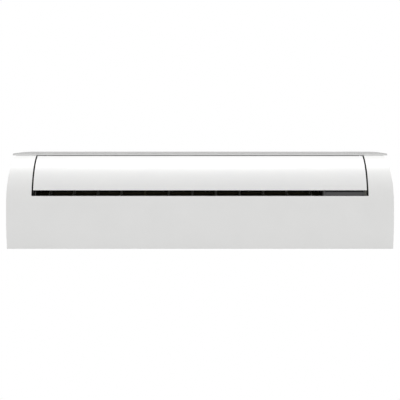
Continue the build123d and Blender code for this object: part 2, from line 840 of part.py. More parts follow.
# ---------------------------------------------------------------- outlet duct, vanes and their links
floor_rear_y = fan_y - sqrt((fan_radius + tongue_gap) ** 2 - (fan_z - floor_z) ** 2)
floor_front_y = brow_point(brow_radius - casing_wall, brow_angle(brow_radius - casing_wall, floor_z))[0]
floor_front_y += fit_gap
# evenly spaced places, one of them taken by the post between the two banks
first_vane = inner_left + first_vane_inset
vane_pitch = (inner_right - last_vane_inset - first_vane) / (left_vanes + right_vanes)
places = [first_vane + vane_pitch * index for index in range(left_vanes + 1 + right_vanes)]
post_x = places.pop(left_vanes)
vane_places = [round(x, 3) for x in places]
vane_foot_z = floor_z + vane_play
link_z = floor_z + link_height
link_pin_y = vane_y + link_reach
motor_vanes = (vane_places[0], vane_places[-1])

with BuildPart() as outlet_duct:
    block(
        (inner_left + fit_gap, inner_right - fit_gap),
        (floor_front_y, floor_rear_y),
        (floor_z - floor_thickness, floor_z),
    )
    # tongue beside the fan
    side_shape(
        [
            (floor_rear_y, floor_z - floor_thickness),
            (floor_rear_y, floor_z + tongue_lift),
            (floor_rear_y - floor_thickness, floor_z + tongue_lift),
            (floor_rear_y - 2 * floor_thickness, floor_z),
        ],
        (inner_left + fit_gap, inner_right - fit_gap),
    )
    # post between the two banks of vanes
    block(
        (post_x - post_thickness / 2, post_x + post_thickness / 2),
        (vane_y - post_reach, vane_y + post_reach),
        (floor_z, floor_z + post_height),
    )
    # feet down to the drain pan
    for x in (inner_left + duct_foot_inset, filter_middle, inner_right - duct_foot_inset):
        block(
            (x - foot_width / 2, x + foot_width / 2),
            (duct_foot_front_y, duct_foot_front_y + chassis_wall),
            (pan_bottom_z + pan_height, floor_z - floor_thickness),
        )
    for x in vane_places:
        rod_z(
            x,
            vane_y,
            (floor_z - floor_thickness - 1, floor_z + 1),
            vane_pin_radius + run_gap,
            Mode.SUBTRACT,
        )
finish_piece(outlet_duct, "outlet_duct")

vane_outline = [
    (vane_y + vane_tail, vane_foot_z),
    (vane_y - vane_toe, vane_foot_z),
    (vane_y - vane_toe, vane_foot_z + vane_toe_height),
    (vane_y - vane_brow, vane_foot_z + vane_sweep_height),
    (vane_y - vane_brow, vane_foot_z + vane_height - vane_crown_drop),
    (vane_y - vane_brow + vane_crown_back, vane_foot_z + vane_height),
    (vane_y + vane_tail, vane_foot_z + vane_height),
]
for index, x in enumerate(vane_places):
    pin_low_z = floor_z - floor_thickness - vane_pin_proud
    if x in motor_vanes:
        pin_low_z = floor_z - floor_thickness - vane_motor_grip
    with BuildPart() as vane:
        side_shape(vane_outline, (x - vane_thickness / 2, x + vane_thickness / 2))
        rod_z(x, vane_y, (vane_foot_z, vane_foot_z + vane_hub_height), vane_hub_radius)
        rod_z(x, vane_y, (pin_low_z, vane_foot_z), vane_pin_radius)
        # notch for the link bar, with the link pin across it
        block(
            (x - vane_hub_radius, x + vane_hub_radius),
            (link_pin_y - link_width / 2 - link_play, vane_y + vane_tail),
            (link_z - link_thickness / 2 - link_play, link_z + link_thickness / 2 + link_play),
            Mode.SUBTRACT,
        )
        rod_z(
            x,
            link_pin_y,
            (link_z - link_thickness / 2 - 2 * link_play, link_z + link_thickness / 2 + 2 * link_play),
            link_pin_radius,
        )
    finish_piece(vane, f"vane_{index + 1:02d}")

banks = {"left": vane_places[:left_vanes], "right": vane_places[left_vanes:]}
for side, places in banks.items():
    with BuildPart() as vane_link:
        block(
            (places[0] - link_width / 2, places[-1] + link_width / 2),
            (link_pin_y - link_width / 2, link_pin_y + link_width / 2),
            (link_z - link_thickness / 2, link_z + link_thickness / 2),
        )
        # each hole is longer to the front, where the pin swings to
        for x in places:
            with Locations((x, link_pin_y - link_slot_length / 2, link_z)):
                Box(
                    2 * (link_pin_radius + link_hole_play),
                    link_slot_length,
                    link_thickness,
                    mode=Mode.SUBTRACT,
                )
            rod_z(
                x,
                link_pin_y,
                (link_z - link_thickness, link_z + link_thickness),
                link_pin_radius + link_hole_play,
                Mode.SUBTRACT,
            )
    finish_piece(vane_link, f"vane_link_{side}")

for side, x in zip(("left", "right"), motor_vanes):
    top = floor_z - floor_thickness
    with BuildPart() as vane_motor:
        rod_z(x, vane_y, (top - vane_motor_height, top), vane_motor_radius)
        fillet(vane_motor.edges().group_by(Axis.Z)[0], vane_motor_edge)
        rod_z(
            x,
            vane_y,
            (top - vane_motor_grip - pin_end_room, top),
            vane_pin_radius + run_gap,
            Mode.SUBTRACT,
        )
    finish_piece(vane_motor, f"vane_motor_{side}")

# ---------------------------------------------------------------- flap
flap_low = brow_angle(brow_radius, flap_edge_z)
flap_high = brow_angle(brow_radius, flap_top_z)
liner_outer = brow_radius - flap_skin - flap_seat
liner_inner = brow_radius - flap_liner_depth
flap_span = (-flap_half_width, flap_half_width)
panel_inside = (-flap_half_width + flap_skin, flap_half_width - flap_skin)
ear_spans = (
    (-flap_half_width + flap_skin, -flap_half_width + flap_skin + flap_ear_width),
    (flap_half_width - flap_skin - flap_ear_width, flap_half_width - flap_skin),
)

with BuildPart() as flap_panel:
    brow_shell(flap_span, brow_radius - flap_skin, brow_radius, flap_low, flap_high)
    # returns along both ends
    for span in (
        (-flap_half_width, -flap_half_width + flap_skin),
        (flap_half_width - flap_skin, flap_half_width),
    ):
        brow_shell(span, liner_inner, brow_radius, flap_low, flap_high)
finish_piece(flap_panel, "flap_panel")

with BuildPart() as flap_liner:
    brow_shell(
        (panel_inside[0] + fit_gap, panel_inside[1] - fit_gap),
        liner_inner,
        liner_outer,
        flap_low,
        flap_high,
    )
    # hollow between the two skins, left open towards the panel
    brow_shell(
        (panel_inside[0] + fit_gap + liner_skin, panel_inside[1] - fit_gap - liner_skin),
        liner_inner + liner_skin,
        liner_outer + 1,
        flap_low + 2,
        flap_high - 2,
        Mode.SUBTRACT,
    )
    # stiffening ribs in the hollow
    for index in range(1, liner_ribs + 1):
        x = panel_inside[0] + (panel_inside[1] - panel_inside[0]) * index / (liner_ribs + 1)
        brow_shell(
            (x - vane_thickness / 2, x + vane_thickness / 2),
            liner_inner,
            liner_outer,
            flap_low + 1,
            flap_high - 1,
        )
    # ears and pins that the flap turns on
    for side, span in zip((-1, 1), ear_spans):
        ear_span = (span[0] + fit_gap * (side < 0), span[1] - fit_gap * (side > 0))
        rod_x(ear_span, pivot_y, pivot_z, flap_ear_radius)
        pin_end = side * (opening_half + casing_wall + flap_pin_proud)
        if side > 0:
            pin_end = opening_half + casing_wall + flap_pin_grip
        rod_x(
            (min(ear_span[0], pin_end), max(ear_span[1], pin_end)),
            pivot_y,
            pivot_z,
            flap_pin_radius,
        )
finish_piece(flap_liner, "flap_liner")

for side, span in zip(("left", "right"), cheek_walls):
    with BuildPart() as flap_bush:
        rod_x(span, pivot_y, pivot_z, bush_radius)
        # flange on the side of the flap
        inside = opening_half - bush_flange if side == "right" else -opening_half
        rod_x((inside, inside + bush_flange), pivot_y, pivot_z, bush_radius + bush_flange_lip)
        bore = (span[0] - 2 * bush_flange, span[1] + 2 * bush_flange)
        rod_x(bore, pivot_y, pivot_z, flap_pin_radius + run_gap, Mode.SUBTRACT)
    finish_piece(flap_bush, f"flap_bush_{side}")

flap_motor_left = opening_half + casing_wall
# the motor's shaft is off its middle, away from the casing's skin
pivot_reach = brow_radius - flap_pivot_setback
flap_motor_center = brow_point(pivot_reach - flap_motor_drop, brow_angle(pivot_reach, pivot_z))
with BuildPart() as flap_motor:
    rod_x(
        (flap_motor_left, flap_motor_left + flap_motor_length),
        flap_motor_center[0],
        flap_motor_center[1],
        flap_motor_radius,
    )
    rod_x(
        (flap_motor_left, flap_motor_left + flap_pin_grip + pin_end_room),
        pivot_y,
        pivot_z,
        flap_pin_radius + run_gap,
        Mode.SUBTRACT,
    )
finish_piece(flap_motor, "flap_motor")

# ---------------------------------------------------------------- intake grille
with BuildPart() as intake_grille:
    block((grille_left, grille_right), grille_y, (bottom_z, bottom_z + grille_thickness))
    cell_length = (grille_right - grille_left - louvre_bridge) / louvre_columns
    cell_depth = (grille_y[1] - grille_y[0] - louvre_bridge) / louvre_rows
    with Locations(((grille_left + grille_right) / 2, (grille_y[0] + grille_y[1]) / 2, bottom_z)):
        with GridLocations(cell_length, cell_depth, louvre_columns, louvre_rows):
            Box(cell_length - louvre_bridge, louvre_slot, 2 * grille_thickness, mode=Mode.SUBTRACT)
    for x_range in (
        (grille_left - grille_gap - grille_boss_width, grille_left),
        (grille_right, grille_right + grille_gap + grille_boss_width),
    ):
        rod_x(x_range, grille_pin_y, grille_pin_z, grille_pin_radius)
finish_piece(intake_grille, "intake_grille")

# ---------------------------------------------------------------- filters and their guides
for side, span in zip(("left", "right"), filter_spans):
    with BuildPart() as filter_frame:
        slope_slab(span, filter_line, (0, filter_length), (-filter_thickness / 2, filter_thickness / 2))
        inner_span = (span[0] + filter_border, span[1] - filter_border)
        window_length = (filter_length - 3 * filter_border) / 2
        window_width = (inner_span[1] - inner_span[0] - (filter_bays - 1) * filter_rib) / filter_bays
        for bay in range(filter_bays):
            window_left = inner_span[0] + bay * (window_width + filter_rib)
            for row in range(2):
                window_start = filter_border + row * (window_length + filter_border)
                slope_slab(
                    (window_left, window_left + window_width),
                    filter_line,
                    (window_start, window_start + window_length),
                    (-filter_thickness, filter_thickness),
                    Mode.SUBTRACT,
                )
        # rebate that the mesh lies in
        slope_slab(
            (inner_span[0] - mesh_margin, inner_span[1] + mesh_margin),
            filter_line,
            (filter_border - mesh_margin, filter_length - filter_border + mesh_margin),
            (-filter_thickness / 2 - 1, mesh_thickness - filter_thickness / 2),
            Mode.SUBTRACT,
        )
    finish_piece(filter_frame, f"filter_frame_{side}")

    with BuildPart() as filter_mesh:
        slope_slab(
            (inner_span[0] - mesh_margin + fit_gap, inner_span[1] + mesh_margin - fit_gap),
            filter_line,
            (filter_border - mesh_margin + fit_gap, filter_length - filter_border + mesh_margin - fit_gap),
            (-filter_thickness / 2, mesh_thickness - filter_thickness / 2),
        )
    finish_piece(filter_mesh, f"filter_mesh_{side}")

grip_low = -filter_thickness / 2 - guide_play
grip_high = filter_thickness / 2 + guide_play
guide_sides = {
    "left": (inner_left, filter_spans[0][0] + guide_grip),
    "centre": (filter_spans[0][1] - guide_grip, filter_spans[1][0] + guide_grip),
    "right": (filter_spans[1][1] - guide_grip, inner_right),
}
for side, span in guide_sides.items():
    with BuildPart() as filter_guide:
        slope_slab(span, filter_line, (0, guide_length), (grip_low - guide_lip, grip_high + guide_lip))
        if side == "centre":
            web = (filter_spans[0][1] + guide_play, filter_spans[1][0] - guide_play)
            rear_corner = on_slope(filter_line, 0, grip_low - guide_lip)
            rear_top = on_slope(filter_line, 0, grip_high + guide_lip)
            hanger_y = (pan_rear_y - 4 * guide_lip, pan_rear_y - guide_lip)
            hanger_along = (filter_line[0][0] - hanger_y[1]) / cos(filter_line[1])
            side_shape(
                [
                    rear_corner,
                    rear_top,
                    (back_face_y, rear_top[1]),
                    (back_face_y, rear_corner[1]),
                ],
                web,
            )
            block(
                web,
                hanger_y,
                (on_slope(filter_line, hanger_along, 0)[1] - guide_lip, pan_bottom_z),
            )
        for filter_span in filter_spans:
            slope_slab(
                (filter_span[0] - guide_play, filter_span[1] + guide_play),
                filter_line,
                (-1, guide_length + 1),
                (grip_low, grip_high),
                Mode.SUBTRACT,
            )
    finish_piece(filter_guide, f"filter_guide_{side}")

# ---------------------------------------------------------------- drain pan and its pipe
pan_x = (inner_left + fit_gap, inner_right - fit_gap)
with BuildPart() as drain_pan:
    block(pan_x, (pan_front_y, pan_rear_y), (pan_bottom_z, pan_bottom_z + pan_height))
    block(
        (pan_x[0] + pan_wall, pan_x[1] - pan_wall),
        (pan_front_y + pan_wall, pan_rear_y - pan_wall),
        (pan_bottom_z + pan_wall, pan_bottom_z + pan_height + 1),
        Mode.SUBTRACT,
    )
    rod_x((pan_x[1] - 2 * pan_wall, pan_x[1] + 1), drain_y, drain_z, drain_bore, Mode.SUBTRACT)
finish_piece(drain_pan, "drain_pan")

drain_drop_x = duct_right + drain_drop
drain_end_z = bottom_z + drain_end_height
with BuildPart() as drain_pipe:
    with BuildLine() as drain_path:
        FilletPolyline(
            (pan_x[1], drain_y, drain_z),
            (drain_drop_x, drain_y, drain_z),
            (drain_drop_x, drain_end_y, drain_end_z),
            (pipe_end, drain_end_y, drain_end_z),
            radius=drain_bend_radius,
        )
    with BuildSketch(Plane(origin=(pan_x[1], drain_y, drain_z), z_dir=(1, 0, 0))):
        Circle(drain_radius)
        Circle(drain_bore, mode=Mode.SUBTRACT)
    sweep()
    # end that the drain hose is pushed over, up to a collar
    end_range = (pipe_end - drain_end_length, pipe_end)
    rod_x(end_range, drain_end_y, drain_end_z, drain_end_radius)
    collar_range = (end_range[0] - drain_collar_width, end_range[0])
    rod_x(collar_range, drain_end_y, drain_end_z, drain_collar_radius)
    rod_x((collar_range[0] - 1, pipe_end + 1), drain_end_y, drain_end_z, drain_bore, Mode.SUBTRACT)
finish_piece(drain_pipe, "drain_pipe")

# ---------------------------------------------------------------- coil
coil_half = coil_depth / 2
plate_edge = coil_half + coil_plate_margin
with BuildPart() as coil_fins:
    slope_slab((coil_left, coil_right), coil_line, (0, coil_length), (-coil_half, coil_half))
    for row in range(tube_rows):
        for off in tube_offs:
            place = tube_place(row, off)
            rod_x((coil_left, coil_right), place[0], place[1], tube_radius + run_gap, Mode.SUBTRACT)
finish_piece(coil_fins, "coil_fins")

plate_spans = {
    "left": (coil_left - coil_plate, coil_left),
    "right": (coil_right, coil_right + coil_plate),
}
foot_spans = {
    "left": (inner_left, coil_left - coil_plate),
    "right": (coil_right + coil_plate, inner_right),
}
for side, span in plate_spans.items():
    with BuildPart() as coil_end_plate:
        slope_slab(
            span,
            coil_line,
            (-coil_plate_margin, coil_length + coil_plate_margin),
            (-plate_edge, plate_edge),
        )
        # feet to the end plates of the chassis
        for along in (-coil_plate_margin, coil_length + coil_plate_margin - coil_foot):
            slope_slab(
                foot_spans[side],
                coil_line,
                (along, along + coil_foot),
                (plate_edge - coil_foot / 2, plate_edge),
            )
        for row in range(tube_rows):
            for off in tube_offs:
                place = tube_place(row, off)
                rod_x(span, place[0], place[1], tube_radius + run_gap, Mode.SUBTRACT)
    finish_piece(coil_end_plate, f"coil_end_plate_{side}")

tube_left = coil_left - coil_plate
tube_right = coil_right + coil_plate
with BuildPart() as coil_tubes:
    for row in range(tube_rows):
        for off in tube_offs:
            place = tube_place(row, off)
            rod_x((tube_left, tube_right), place[0], place[1], tube_radius)
finish_piece(coil_tubes, "coil_tubes")


def return_bend(x, first, second, outward):
    """Half a ring of tube from one tube's end to another's."""
    middle = Vector(x, (first[0] + second[0]) / 2, (first[1] + second[1]) / 2)
    across = Vector(0, second[0] - first[0], second[1] - first[1])
    turn_axis = across.cross(Vector(outward, 0, 0)).normalized()
    with BuildSketch(Plane.YZ.offset(x)) as tube_end:
        with Locations(first):
            Circle(tube_radius)
    revolve(tube_end.sketch, axis=Axis(middle, turn_axis * -1), revolution_arc=180)


with BuildPart() as return_bends:
    for row in range(tube_rows):
        return_bend(tube_left, tube_place(row, tube_offs[0]), tube_place(row, tube_offs[1]), -1)
    for row in range(tube_rows - 1):
        return_bend(tube_right, tube_place(row, tube_offs[1]), tube_place(row + 1, tube_offs[0]), 1)
finish_piece(return_bends, "return_bends")

# ---------------------------------------------------------------- refrigerant pipes
pipe_z = bottom_z + pipe_height
gas_drop_x = duct_right + pipe_bend_radius * 2
liquid_drop_x = duct_right + pipe_bend_radius
union_left = pipe_end - union_length - union_hex_length
pipe_routes = {
    "gas": (
        (gas_radius, gas_union_radius, gas_hex_radius),
        [
            (tube_right, gas_start[0], gas_start[1]),
            (gas_drop_x, gas_start[0], gas_start[1]),
            (gas_drop_x, gas_start[0], pipe_z),
            (union_left + union_hex_length, gas_start[0], pipe_z),
        ],
    ),
    "liquid": (
        (liquid_radius, liquid_union_radius, liquid_hex_radius),
        [
            (tube_right, liquid_start[0], liquid_start[1]),
            (liquid_drop_x, liquid_start[0], liquid_start[1]),
            (liquid_drop_x, liquid_end_y, pipe_z),
            (union_left + union_hex_length, liquid_end_y, pipe_z),
        ],
    ),
}
for name, ((pipe_radius, end_radius, hex_radius), route) in pipe_routes.items():
    with BuildPart() as pipe:
        with BuildLine() as path:
            FilletPolyline(*route, radius=pipe_bend_radius)
        with BuildSketch(Plane(origin=route[0], z_dir=(1, 0, 0))):
            Circle(pipe_radius)
        sweep()
    finish_piece(pipe, f"{name}_pipe")

    # union at the pipe's end: a hexagon round the pipe, then the threaded end
    _, end_y, end_z = route[-1]
    with BuildPart() as union:
        with BuildSketch(Plane.YZ.offset(union_left)):
            with Locations((end_y, end_z)):
                RegularPolygon(hex_radius, 6)
        extrude(amount=union_hex_length)
        rod_x((union_left + union_hex_length, pipe_end), end_y, end_z, end_radius)
        rod_x((union_left, union_left + union_hex_length), end_y, end_z, pipe_radius + run_gap, Mode.SUBTRACT)
        rod_x((union_left, pipe_end), end_y, end_z, end_radius - union_wall, Mode.SUBTRACT)
    finish_piece(union, f"{name}_union")

# ---------------------------------------------------------------- receiver block and manual button
block_arc = end_plate_arc
block_top_z = pivot_z - ear_room
receiver_x = (duct_right + fit_gap, flap_half_width - flap_skin - receiver_side_gap)
window_x = (receiver_x[0] + window_inset, receiver_x[1] - window_inset)
window_z = (floor_z + window_low, floor_z + window_low + window_height)
button_x = receiver_x[1] - button_inset
button_face_y = brow_point(block_arc, brow_angle(block_arc, button_z))[0] - button_proud
button_rear_y = button_face_y + button_length + button_travel + button_stop


def receiver_profile(x, inset, rear_y):
    """Side outline of the receiver cover, smaller by inset, with its flat back at rear_y."""
    arc = block_arc - inset
    low = brow_angle(arc, floor_z + inset)
    high = brow_angle(arc, block_top_z - inset)
    with BuildSketch(Plane.YZ.offset(x)) as profile:
        with BuildLine():
            face = ThreePointArc(
                brow_point(arc, low),
                brow_point(arc, (low + high) / 2),
                brow_point(arc, high),
            )
            Polyline(face @ 1, (rear_y, block_top_z - inset), (rear_y, floor_z + inset), face @ 0)
        make_face()
    return profile


# tube that guides the button, ending in the curved face
with BuildPart() as button_guide:
    with BuildSketch(Plane.XZ.offset(-button_rear_y)):
        with Locations((button_x, button_z)):
            Circle(button_radius + button_play + receiver_wall)
    extrude(amount=button_length + button_travel + button_stop)
    shell_profile = receiver_profile(receiver_x[0], 0, button_rear_y)
    extrude(shell_profile.sketch, amount=receiver_x[1] - receiver_x[0], mode=Mode.INTERSECT)

with BuildPart() as receiver_cover:
    shell_profile = receiver_profile(receiver_x[0], 0, receiver_rear_y)
    extrude(shell_profile.sketch, amount=receiver_x[1] - receiver_x[0])
    # hollow behind the face, open to the rear
    hollow = receiver_profile(receiver_x[0] + receiver_wall, receiver_wall, receiver_rear_y + 1)
    extrude(hollow.sketch, amount=receiver_x[1] - receiver_x[0] - 2 * receiver_wall, mode=Mode.SUBTRACT)
    add(button_guide.part)
    with BuildSketch(Plane.XZ.offset(-button_rear_y - 1)) as bore:
        with Locations((button_x, button_z)):
            Circle(button_radius + button_play)
    extrude(bore.sketch, amount=overall_depth, mode=Mode.SUBTRACT)
    # rebate that the window lies in
    brow_shell(
        (window_x[0] - flap_seat, window_x[1] + flap_seat),
        block_arc - window_thickness - flap_seat,
        block_arc + 1,
        brow_angle(block_arc, window_z[0]) - 0.05,
        brow_angle(block_arc, window_z[1]) + 0.05,
        Mode.SUBTRACT,
    )
finish_piece(receiver_cover, "receiver_cover")

with BuildPart() as receiver_window:
    brow_shell(
        window_x,
        block_arc - window_thickness,
        block_arc,
        brow_angle(block_arc, window_z[0]),
        brow_angle(block_arc, window_z[1]),
    )
finish_piece(receiver_window, "receiver_window")

with BuildPart() as manual_button:
    with BuildSketch(Plane.XZ.offset(-button_face_y - button_length)) as cap:
        with Locations((button_x, button_z)):
            Circle(button_radius)
    extrude(cap.sketch, amount=button_length)
    fillet(manual_button.edges().group_by(Axis.Y)[0], button_edge)
finish_piece(manual_button, "manual_button")

# ---------------------------------------------------------------- control box
box_z = (bottom_z + box_bottom_height, bottom_z + box_top_height)
board_face_y = board_y - board_thickness
with BuildPart() as control_box:
    block((box_left, box_right), (box_front, box_rear), box_z)
    block(
        (box_left + box_wall, box_right - box_wall),
        (box_front - 1, box_rear - box_wall),
        (box_z[0] + box_wall, box_z[1] - box_wall),
        Mode.SUBTRACT,
    )
    # legs to the back of the chassis, above the pipes
    for x in (box_left + leg_width, box_right - leg_width):
        block((x - leg_width / 2, x + leg_width / 2), (box_rear, back_face_y), (box_z[1] - leg_height, box_z[1]))
    # hole of the cable gland
    rod_z(gland_x, gland_y, (box_z[0] - 1, box_z[0] + box_wall + 1), gland_neck + run_gap, Mode.SUBTRACT)
    # posts of the board
    for x in (box_left + post_inset, box_right - post_inset):
        for z in (box_z[0] + post_low, box_z[1] - post_inset):
            block(
                (x - post_size / 2, x + post_size / 2),
                (board_y, box_rear - box_wall),
                (z - post_size / 2, z + post_size / 2),
            )
finish_piece(control_box, "control_box")

with BuildPart() as control_board:
    block(
        (box_left + board_margin, box_right - board_margin),
        (board_face_y, board_y),
        (box_z[0] + board_low, box_z[1] - board_margin),
    )
    # capacitor, transformer, relay and connectors
    for x, z, size in board_parts:
        block(
            (box_left + x - size[0] / 2, box_left + x + size[0] / 2),
            (board_face_y - size[1], board_face_y),
            (box_z[0] + z - size[2] / 2, box_z[0] + z + size[2] / 2),
        )
finish_piece(control_board, "control_board")

terminal_left = box_left + board_margin
terminal_z = (box_z[0] + terminal_low, box_z[0] + terminal_low + terminal_height)
terminal_face_y = board_face_y - terminal_depth
with BuildPart() as terminal_block:
    block(
        (terminal_left, terminal_left + terminal_ways * terminal_pitch),
        (terminal_face_y, board_face_y),
        terminal_z,
    )
    # a mouth for each wire
    for way in range(terminal_ways):
        x = terminal_left + terminal_pitch * (way + 0.5)
        block(
            (x - (terminal_pitch - terminal_rib) / 2, x + (terminal_pitch - terminal_rib) / 2),
            (terminal_face_y - 1, terminal_face_y + terminal_mouth),
            (terminal_z[0] + terminal_rib, terminal_z[1] - terminal_rib),
            Mode.SUBTRACT,
        )
finish_piece(terminal_block, "terminal_block")

with BuildPart() as control_lid:
    block((box_left, box_right), (box_front - box_wall, box_front), box_z)
    block(
        (box_left + box_wall + fit_gap, box_right - box_wall - fit_gap),
        (box_front, box_front + lid_lip),
        (box_z[0] + box_wall + fit_gap, box_z[1] - box_wall - fit_gap),
    )
    block(
        (box_left + 2 * box_wall + fit_gap, box_right - 2 * box_wall - fit_gap),
        (box_front, box_front + lid_lip + 1),
        (box_z[0] + 2 * box_wall + fit_gap, box_z[1] - 2 * box_wall - fit_gap),
        Mode.SUBTRACT,
    )
finish_piece(control_lid, "control_lid")

with BuildPart() as cable_gland:
    rod_z(gland_x, gland_y, (box_z[0] - gland_length, box_z[0]), gland_radius)
    rod_z(gland_x, gland_y, (box_z[0], box_z[0] + box_wall + 1), gland_neck)
    rod_z(gland_x, gland_y, (box_z[0] - gland_length - 1, box_z[0] + box_wall + 2), gland_bore, Mode.SUBTRACT)
finish_piece(cable_gland, "cable_gland")
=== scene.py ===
import json
import math

import bmesh
import bpy
import numpy as np
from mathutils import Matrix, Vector


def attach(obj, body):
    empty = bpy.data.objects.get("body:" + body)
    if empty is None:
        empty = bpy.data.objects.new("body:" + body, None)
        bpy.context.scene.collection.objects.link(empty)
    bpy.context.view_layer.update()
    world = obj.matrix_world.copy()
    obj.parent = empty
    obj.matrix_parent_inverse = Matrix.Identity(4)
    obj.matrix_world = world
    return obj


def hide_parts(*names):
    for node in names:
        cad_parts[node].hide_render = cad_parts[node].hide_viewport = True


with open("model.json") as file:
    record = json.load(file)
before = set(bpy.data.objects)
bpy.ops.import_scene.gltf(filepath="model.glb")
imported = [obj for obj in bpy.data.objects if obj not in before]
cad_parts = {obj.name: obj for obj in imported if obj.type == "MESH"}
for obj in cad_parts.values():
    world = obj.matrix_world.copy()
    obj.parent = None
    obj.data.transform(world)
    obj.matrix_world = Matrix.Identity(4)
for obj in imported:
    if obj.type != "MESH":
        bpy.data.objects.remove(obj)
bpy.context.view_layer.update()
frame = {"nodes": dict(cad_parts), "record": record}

# Wall-hung indoor unit seen from the front. Shapes are worked out in millimetres and put into the
# meshes in metres. X runs right, +Z up, the room is towards -Y.


# ---- camera, lamps and stage

view = {
    "cameraPlace": (0.0, -3.07, 0.2496),
    "cameraAim": (0.0, 0.0, 0.2496),       # level, as the upright lines stay upright
    "lens": 99.87,
    "sensorWidth": 36.0,
    "farthest": 50.0,
    "riseOfView": -0.2367,       # lens shift in picture widths: the view lies below the camera's level
    "ambient": 0.36,
    "frontLamp": 1.43,           # level with the unit, straight from the front
    "frontLampSpread": 70.0,
    "topLamp": 2.18,             # from above, a little behind the unit
    "topLampSpread": 25.0,
    "topLampLean": 11.5,         # degrees behind the vertical
    "floorHeight": -2.3,
    "floorRadius": 3.0,
    "floorSides": 96,
}


def linearOf(hexColour):
    # sRGB to linear: below 0.04045 c / 12.92, else ((c + 0.055) / 1.055) to the power 2.4
    channels = np.array([int(hexColour[i:i + 2], 16) / 255 for i in (1, 3, 5)])
    linear = np.where(channels <= 0.04045, channels / 12.92, ((channels + 0.055) / 1.055) ** 2.4)
    return (*linear.tolist(), 1.0)


def feed(tree, node, inputs):
    # values and links for a node's inputs. Another node stands for its first output.
    for name, value in inputs.items():
        if isinstance(value, bpy.types.Node):
            value = value.outputs[0]
        if isinstance(value, bpy.types.NodeSocket):
            tree.links.new(value, node.inputs[name])
        else:
            node.inputs[name].default_value = value


def addNode(tree, kind, settings=None, inputs=None):
    # one shader node: settings go to its properties, values and links to its inputs
    node = tree.nodes.new("ShaderNode" + kind)
    for name, value in (settings or {}).items():
        setattr(node, name, value)
    feed(tree, node, inputs or {})
    return node


def seenWhite(tree):
    # 1 for rays that come straight from the camera or by a mirror or glass, and 0 for the light that falls
    # on things
    path = addNode(tree, "LightPath")
    either = addNode(tree, "Math", {"operation": "MAXIMUM"},
                     {0: path.outputs["Is Camera Ray"], 1: path.outputs["Is Glossy Ray"]})
    return addNode(tree, "Math", {"operation": "MAXIMUM"},
                   {0: either, 1: path.outputs["Is Transmission Ray"]})


def setUpView():
    cameraData = bpy.data.cameras.new("photoCamera")
    cameraData.lens = view["lens"]
    cameraData.sensor_width = view["sensorWidth"]
    cameraData.shift_y = view["riseOfView"]
    cameraData.clip_end = view["farthest"]
    camera = bpy.data.objects.new("photoCamera", cameraData)
    camera.location = view["cameraPlace"]
    aim = Vector(view["cameraAim"]) - Vector(view["cameraPlace"])
    camera.rotation_euler = aim.to_track_quat("-Z", "Y").to_euler()
    bpy.context.scene.collection.objects.link(camera)
    bpy.context.scene.camera = camera

    lean = math.radians(view["topLampLean"])
    comesFrom = {"frontLamp": (0.0, -1.0, 0.0), "topLamp": (0.0, math.sin(lean), math.cos(lean))}
    for name, direction in comesFrom.items():
        lampData = bpy.data.lights.new(name, "SUN")
        lampData.energy = view[name]
        lampData.angle = math.radians(view[name + "Spread"])
        lamp = bpy.data.objects.new(name, lampData)
        lamp.rotation_euler = (-Vector(direction)).to_track_quat("-Z", "Y").to_euler()
        bpy.context.scene.collection.objects.link(lamp)

    world = bpy.data.worlds.new("studio")
    world.use_nodes = True
    tree = world.node_tree
    tree.nodes.clear()
    lit = addNode(tree, "Background", None, {"Color": (1, 1, 1, 1), "Strength": view["ambient"]})
    seen = addNode(tree, "Background", None, {"Color": (1, 1, 1, 1), "Strength": 1.0})
    mix = addNode(tree, "MixShader", None, {0: seenWhite(tree), 1: lit, 2: seen})
    addNode(tree, "OutputWorld", None, {"Surface": mix})
    bpy.context.scene.world = world
    bpy.context.scene.view_settings.view_transform = "Standard"


def makeFloor():
    # a round pale floor well below the unit, which hangs on a wall. It throws some light up at the underside.
    sides = view["floorSides"]
    turn = np.linspace(0, 2 * np.pi, sides + 1)[:-1]
    ring = np.stack([np.cos(turn), np.sin(turn), 0 * turn], 1) * view["floorRadius"]
    ring[:, 2] = view["floorHeight"]
    mesh = bpy.data.meshes.new("paleFloor")
    mesh.from_pydata(ring.tolist(), [], [list(range(sides))])
    floor = bpy.data.objects.new("paleFloor", mesh)
    bpy.context.scene.collection.objects.link(floor)
    material = bpy.data.materials.new("paleFloorPaint")
    material.use_nodes = True
    tree = material.node_tree
    tree.nodes.clear()
    matt = addNode(tree, "BsdfDiffuse", None, {"Color": linearOf("#a8a8a8")})
    bright = addNode(tree, "Emission", None, {"Color": (1, 1, 1, 1), "Strength": 1.0})
    mix = addNode(tree, "MixShader", None, {0: seenWhite(tree), 1: matt, 2: bright})
    addNode(tree, "OutputMaterial", None, {"Surface": mix})
    mesh.materials.append(material)


setUpView()
makeFloor()
print("camera, lamps and floor set")


# ---- finishes

def startFinish(name):
    # an empty material with a Principled shader, and object coordinates for its patterns
    material = bpy.data.materials.new(name)
    material.use_nodes = True
    tree = material.node_tree
    tree.nodes.clear()
    shader = addNode(tree, "BsdfPrincipled")
    addNode(tree, "OutputMaterial", None, {"Surface": shader})
    place = addNode(tree, "TexCoord")
    return material, tree, shader, place.outputs["Object"]


def perMetre(millimetres):
    # texture scale that gives features about this size
    return 1000.0 / millimetres


noiseSpan = {"From Min": 0.3, "From Max": 0.7}       # nearly all that a noise gives


